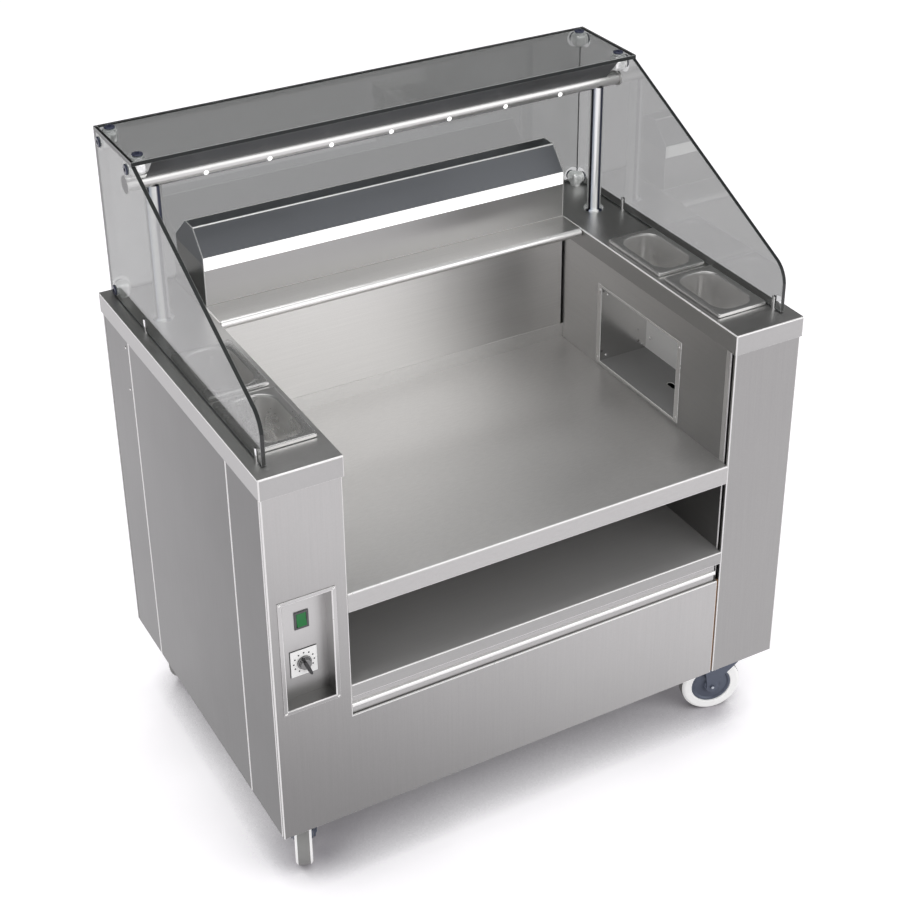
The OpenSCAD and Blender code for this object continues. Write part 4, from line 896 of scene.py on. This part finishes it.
# %% Knob
skirt = [(0.0056, 0.0021), (0.0132, 0.0021)] + arc(0.0008, 0.0010, 0.0127, 0.0040, 0, 90, 4)
skirt += [(0.0112, 0.0054), (0.0108, 0.0078)] + arc(0.0016, 0.0016, 0.0092, 0.0104, 0, 90) + [(0.0, 0.0122)]
underside = [(0.0056, 0.0021), (0.0056, 0.0046), (0.0, 0.0046)]
spindle = [(0, -0.013), (0.003, -0.013), (0.003, 0.0046), (0, 0.0046)]
grip_steps, grip_power, grip_ahead, points_to = 40, 0.62, 0.0046, math.radians(-68)
t = np.linspace(0, 2 * math.pi, grip_steps, endpoint=False)
grip_ring = np.column_stack([np.cos(t), np.sin(t)])
grip_ring = np.sign(grip_ring) * np.abs(grip_ring) ** grip_power
grip_levels = [(0.0172, 0.0034, 0.0060), (0.0174, 0.0035, 0.0120), (0.0172, 0.0033, 0.0160),
               (0.0164, 0.0027, 0.0176), (0.0001, 0.0001, 0.0181)]    # half length, half width, height
c, s = math.cos(points_to), math.sin(points_to)
grip_rows = []
for half_long, half_wide, rise in grip_levels:
    ahead, across = grip_ahead + half_long * grip_ring[:, 0], half_wide * grip_ring[:, 1]
    grip_rows.append(
        np.column_stack([ahead * c - across * s, np.full(grip_steps, -rise), ahead * s + across * c]))
grip_rows.insert(0, np.tile(grip_rows[0].mean(0), (grip_steps, 1)))
grip = surface(np.array(grip_rows) + dial)
knob_shapes = [(*lathe(skirt, dial, (0, -1, 0)), 0), (*lathe(underside, dial, (0, -1, 0)), 0), (*grip, 1),
               (*lathe(spindle, dial, (0, -1, 0), 24), 0)]
piece("turning_knob", knob_shapes, "knob", [dark_chrome, black_plastic], "knob", smooth=35)
print("controls done")

# %% [markdown]
# ## Casters
# A swivel caster is a pressed fork under a ball race, with a wheel on a bolt through its legs. The
# legs are outlines with round corners that are carried through the sheet's thickness; race, hub,
# tyre and bolts are turned. Each part is worked out once with the wheel towards +X and then turned
# to the way each caster happened to stand.

# %% Fork
trail, axle_z = 0.038, 0.0625                 # from the kingpin back to the axle, and the wheel's radius
crown_z, boss_z, boss_radius = 0.1395, 0.066, 0.0128
leg_inner, leg_outer = 0.0195, 0.0235
axle = (trail, 0, axle_z)


def leg_outline():
    """Fork leg seen from the side: two eased edges from the crown down to a round boss on the axle."""
    s = np.linspace(0, 1, 12)
    ease = s * s * (3 - 2 * s)
    front = np.column_stack([-0.022 + (0.0265 + 0.022) * ease, crown_z - (crown_z - boss_z) * s])
    a = np.radians(np.linspace(190, 350, 14))
    boss = np.column_stack([trail + boss_radius * np.cos(a), axle_z + boss_radius * np.sin(a)])
    rear = np.column_stack([0.0505 + (0.060 - 0.0505) * ease, boss_z + (crown_z - boss_z) * s])
    return np.concatenate([front, boss, rear])


def rod(half, radius, place, steps=24):
    """A round bar that lies along Y with its middle at a place."""
    return lathe([(0, -half), (radius, -half), (radius, half), (0, half)], place, (0, 1, 0), steps)


race_profile = [(0.007, 0.0), (0.0285, 0.0), (0.0305, 0.0008), (0.0312, 0.0026), (0.0300, 0.0044),
                (0.0290, 0.0052), (0.007, 0.0052)]
washer_profile = [(0, 0), (0.0075, 0), (0.0075, 0.0008), (0, 0.0008)]
hexagon = np.array([(math.cos(math.radians(a)), math.sin(math.radians(a))) for a in range(0, 360, 60)])
fork_shapes = [(*prism(leg_outline(), side * leg_inner, side * leg_outer), 0) for side in (-1, 1)]
fork_shapes += [(*lathe(race_profile, (0, 0, 0.1393), steps=56), 0)]
fork_shapes += [(*block((0.004, -0.0234, 0.1391), (0.060, 0.0234, 0.1431)), 0)]
fork_shapes += [(*rod(0.0264, 0.0030, axle), 1)]
for side in (-1, 1):
    fork_shapes.append((*prism(hexagon * 0.0052 + (trail, axle_z), side * 0.0237, side * 0.0262), 0))
    fork_shapes.append((*lathe(washer_profile, (trail, side * leg_outer, axle_z), (0, side, 0), 28), 0))
print("fork:", len(fork_shapes), "shapes")

# %% Wheel
rim_radius, rim_half = 0.0421, 0.0152
tyre_side = [(rim_radius, rim_half)]
tyre_side += [(rim_radius + 0.010 * t, rim_half + 0.0006 * math.sin(math.pi * t)) for t in (0.3, 0.6, 0.9)]
tyre_side += arc(0.0077, 0.0090, 0.0548, 0.0070, 90, 30, 6)
tread_half = arc(0.0077, 0.0090, 0.0548, 0.0070, 30, 0, 4)
hub_half = [(0.0418, 0.0), (0.0418, 0.0128), (0.0408, 0.0136), (0.0380, 0.0136), (0.0368, 0.0124),
            (0.0350, 0.0106), (0.0230, 0.0104), (0.0185, 0.0120), (0.0165, 0.0150), (0.0155, 0.0182),
            (0.0145, 0.0189), (0.00505, 0.0189), (0.00505, 0.0)]
tread_profile = tread_half + [(r, -h) for r, h in tread_half[::-1]]
hub_profile = hub_half[::-1] + [(r, -h) for r, h in hub_half[1:]]
wheel_shapes = [(*lathe(hub_profile, axle, (0, 1, 0), 64), 1)]
wheel_shapes += [(*lathe(tread_profile, axle, (0, 1, 0), 96), 2)]
wheel_shapes += [(*lathe(tyre_side, axle, (0, side, 0), 96), 0) for side in (-1, 1)]
wheel_shapes += [(*lathe([(rim_radius, -rim_half), (rim_radius, rim_half)], axle, (0, 1, 0), 96), 0)]
print("wheel:", len(wheel_shapes), "shapes")

# %% Four casters, each turned its own way
standing = {"front_left": (-0.483, -0.311, 67), "front_right": (0.483, -0.311, 163),
            "rear_left": (-0.483, 0.311, 40), "rear_right": (0.483, 0.311, 240)}      # X, Y and degrees


def as_it_stands(shapes, name):
    """The shapes of a caster turned and moved to its place, with their material numbers."""
    x, y, angle = standing[name]
    return [(*turned(shape, angle, (x, y, 0)), number) for *shape, number in shapes]


for name in standing:
    piece("caster_fork_" + name, as_it_stands(fork_shapes, name), "fork_" + name, [slate_paint, zinc],
          "fork_" + name, bevel=0.0006, smooth=35)
    piece("caster_wheel_" + name, as_it_stands(wheel_shapes, name), "wheel_" + name,
          [white_tyre, slate_paint, tyre_tread], "wheel_" + name, smooth=38)
print("casters:", len(standing))

# %% [markdown]
# ## Brake pedals and top plates
# The front casters have a foot pedal, a plastic plate with ribs on a pin between the fork's legs. Its
# side view is a slightly wavy line with a second one below it. The top plates, each with its ball
# race, kingpin and four bolt heads, stay with the cart when a fork turns, so they are one piece.

# %% Brake pedals
pedal_pin = (0.052, 0, 0.132)
s = np.linspace(0, 1, 16)
pedal_top = np.column_stack([0.0505 + 0.0605 * s, 0.1345 - 0.0012 * s + 0.0010 * np.sin(2 * math.pi * s)])
pedal_line = np.concatenate([pedal_top, pedal_top[::-1] - (0, 0.0038)])
pedal_shapes = [prism(np.concatenate([pedal_line[:8], pedal_line[-8:]]), -0.0184, 0.0184)]
pedal_shapes += [prism(pedal_line[5:-5], -0.0228, 0.0228)]
pedal_shapes += [
    block((0.080 + 0.007 * k, -0.019, 0.1325), (0.083 + 0.007 * k, 0.019, 0.1352)) for k in range(4)]
pedal_shapes += [rod(0.0184, 0.0064, pedal_pin, 28), rod(0.0234, 0.00245, pedal_pin, 20)]
for name in ("front_left", "front_right"):
    piece("pedal_" + name, as_it_stands([(*shape, 0) for shape in pedal_shapes], name), "brake_" + name,
          black_plastic, "brake_" + name, bevel=0.0004, smooth=35)
print("pedal:", len(pedal_shapes), "shapes")

# %% Caster plates
ball_race = [(0, 0.145), (0.0300, 0.145), (0.0315, 0.1465), (0.0315, 0.1485), (0.027, 0.151), (0, 0.151)]
kingpin = [(0, 0.1366), (0.006, 0.1366), (0.006, 0.146), (0, 0.146)]
plate_shapes = []
for x, y, _ in standing.values():
    plate_shapes.append(prism(rounded_ring(0.05, 0.0425, 0.006) + (x, y), 0.151, 0.155, axis=Z))
    plate_shapes.append(lathe(ball_race, (x, y, 0), steps=56))
    plate_shapes.append(lathe(kingpin, (x, y, 0), steps=28))
    plate_shapes.append(prism(hexagon * 0.0098 + (x, y), 0.1366, 0.1392, axis=Z))
    for i, j in ((-1, -1), (-1, 1), (1, -1), (1, 1)):
        plate_shapes.append(prism(hexagon * 0.0065 + (x + i * 0.040, y + j * 0.0325), 0.148, 0.151, axis=Z))
piece("caster_top_plates", plate_shapes, "cart", zinc, "caster_plates", bevel=0.0004, smooth=35)
print("casters done")

# %% [markdown]
# ## Small trims
# Where the bay's walls end behind the tower fronts, the sheet is hemmed: folded flat on itself, which
# leaves a narrow raised strip. A thin brown seal shows in the joint between the low cover and the
# right tower. Both are slim blocks with bevelled edges.

# %% Hems and seal
hem_inner, hem_outer, hem_front, hem_back = 0.3958, 0.397, -0.3556, -0.3436
hem_low, hem_high = 0.6465, 0.9232
hems = [block((-hem_outer, hem_front, hem_low), (-hem_inner, hem_back, hem_high)),
        block((hem_inner, hem_front, hem_low), (hem_outer, hem_back, hem_high))]
piece("wall_hems", hems, "cart", steel_bright, bevel=0.0003)
piece("joint_seal", [block((0.3935, -0.3675, 0.157), (0.3965, -0.3630, 0.381))],
      "cart", brown_seal, bevel=0.0004)
print("hems:", round(hem_high - hem_low, 4), "m high")

# %% [markdown]
# ## Floor
# The floor is a plain pale sheet that keeps the soft shadow. What the camera sees of it should be
# nearly white without more light on the cart, so it shines for the camera, for glossy reflections and
# through glass only. Ambient occlusion lowers that glow near the wheels and under the body, which
# leaves the shadow there.

# %% Floor
floor_half = 14.0
near_gain, near_offset, most_glow = 2.7, -1.2, 0.68
floor_mesh = bpy.data.meshes.new("floor")
floor_corners = [(i * floor_half, j * floor_half, 0) for i, j in ((-1, -1), (1, -1), (1, 1), (-1, 1))]
floor_mesh.from_pydata(floor_corners, [], [(0, 1, 2, 3)])
floor = bpy.data.objects.new("floor", floor_mesh)
bpy.context.scene.collection.objects.link(floor)
floor_paint, floor_tree, floor_shader, _ = new_material("pale_floor")
floor_shader.inputs["Base Color"].default_value = (0.5, 0.48, 0.51, 1)
floor_shader.inputs["Roughness"].default_value = 0.9
floor_shader.inputs["Specular IOR Level"].default_value = 0.0
floor_shader.inputs["Emission Color"].default_value = (1, 1, 1, 1)
ways = add(floor_tree, "ShaderNodeLightPath").outputs
mirrored = maths(floor_tree, "MAXIMUM", ways["Is Glossy Ray"], ways["Is Transmission Ray"])
seen = maths(floor_tree, "MAXIMUM", ways["Is Camera Ray"], mirrored)
nearness = add(floor_tree, "ShaderNodeAmbientOcclusion", {"Distance": 0.3}, samples=8).outputs["AO"]
glow = maths(floor_tree, "MULTIPLY_ADD", nearness, near_gain, near_offset)
level = maths(floor_tree, "MINIMUM", glow, most_glow)
openness = maths(floor_tree, "MULTIPLY", seen, maths(floor_tree, "MAXIMUM", level, 0.0))
floor_tree.links.new(openness, floor_shader.inputs["Emission Strength"])
floor_mesh.materials.append(floor_paint)
print("floor:", 2 * floor_half, "m wide")

# %% [markdown]
# ## World
# Steel shows what stands round it, so the world is not one even grey. It is bright low down in front
# and dark behind and overhead, as in a photo studio with a pale room before the cart. The camera
# itself sees plain white, and so does a look straight through the glass. Light that has bounced off
# something dull gets one even level, which keeps the shadows soft.

# %% World
window_level, dark_level, room_level = 0.82, 0.13, 0.72
world = bpy.data.worlds.new("studio")
bpy.context.scene.world = world
world.use_nodes = True
sky = world.node_tree
sky.nodes.clear()
direction = add(sky, "ShaderNodeTexCoord").outputs["Generated"]
ahead = soft_step(sky, vector_maths(sky, "DOT_PRODUCT", direction, (0.35, -0.94, 0.0)), -0.35, 0.75)
low = soft_step(sky, add(sky, "ShaderNodeSeparateXYZ", {0: direction}).outputs[Z], 0.8, 0.4)
level = maths(sky, "MULTIPLY_ADD", maths(sky, "MULTIPLY", ahead, low), window_level, dark_level)
sky_way = add(sky, "ShaderNodeLightPath").outputs
first_sight = maths(sky, "LESS_THAN", sky_way["Glossy Depth"], 0.5)
through_glass = maths(sky, "MULTIPLY", sky_way["Is Transmission Ray"], first_sight)
sky_seen = maths(sky, "MAXIMUM", sky_way["Is Camera Ray"], through_glass)
soft_level = mix_numbers(sky, sky_way["Is Diffuse Ray"], level, room_level)
sky_level = mix_numbers(sky, sky_seen, soft_level, 1.0)
background = add(sky, "ShaderNodeBackground", {"Color": (1, 1, 1, 1), "Strength": sky_level})
sky.links.new(background.outputs[0], add(sky, "ShaderNodeOutputWorld").inputs[0])
print("world:", len(sky.nodes), "nodes")

# %% [markdown]
# ## Lamps and camera
# Three broad lamps light the front, the left side and the top from above, because large lamps give
# soft shadows and long highlights on steel. The camera stands where the photograph was taken from:
# to the left of the cook, above head height, with a long lens. Its three angles make a rotation
# matrix, and a small shift of the lens brings the cart to its place in the frame.

# %% Lamps
lit_point = (0, 0, 0.6)


def softbox(name, place, size, power):
    """A square area lamp at a place, turned to face the middle of the cart."""
    light = bpy.data.lights.new(name, "AREA")
    light.shape, light.size, light.energy = "SQUARE", size, power
    holder = bpy.data.objects.new(name, light)
    holder.location = place
    aim = np.array(lit_point, float) - np.array(place, float)
    holder.rotation_euler = Vector(aim).to_track_quat("-Z", "Y").to_euler()
    bpy.context.scene.collection.objects.link(holder)


softbox("key", (2.2, -4.0, 2.9), 4.0, 60)
softbox("fill", (-3.8, -1.2, 2.8), 3.4, 30)
softbox("top", (0.0, 0.3, 4.6), 3.0, 60)
print("lamps:", [light.name for light in bpy.data.lights])

# %% Camera
focal_pixels, image_pixels, sensor = 1816.67, 900, 36.0
middle_x, middle_y = 450.114, 339.403                                  # where the lens axis meets the picture
camera_place = (-1.4315, -2.6266, 2.5162)
azimuth, elevation, roll = (math.radians(v) for v in (28.7415, 29.1181, -0.6387))
level_part = math.cos(elevation)
forward = np.array([math.sin(azimuth) * level_part, math.cos(azimuth) * level_part, -math.sin(elevation)])
right = np.array([math.cos(azimuth), -math.sin(azimuth), 0.0])
upward = np.cross(right, forward)
right_rolled = right * math.cos(roll) + upward * math.sin(roll)
up_rolled = upward * math.cos(roll) - right * math.sin(roll)
camera_data = bpy.data.cameras.new("photo_camera")
camera_data.sensor_width = sensor
camera_data.lens = sensor * focal_pixels / image_pixels
camera_data.shift_x = -(middle_x - image_pixels / 2) / image_pixels
camera_data.shift_y = (middle_y - image_pixels / 2) / image_pixels
camera_data.clip_end = 60.0
camera = bpy.data.objects.new("photo_camera", camera_data)
turning = np.eye(4)
turning[:3, 0], turning[:3, 1], turning[:3, 2] = right_rolled, up_rolled, -forward
turning[:3, 3] = camera_place
camera.matrix_world = Matrix(turning.tolist())
bpy.context.scene.collection.objects.link(camera)
bpy.context.scene.camera = camera
bpy.context.scene.view_settings.view_transform = "Standard"
print("lens:", round(camera_data.lens, 2), "shift:", round(camera_data.shift_y, 4))

# %% [markdown]
# ## Last update
# The last line brings the places of all objects up to date.

# %% Last update
bpy.context.view_layer.update()
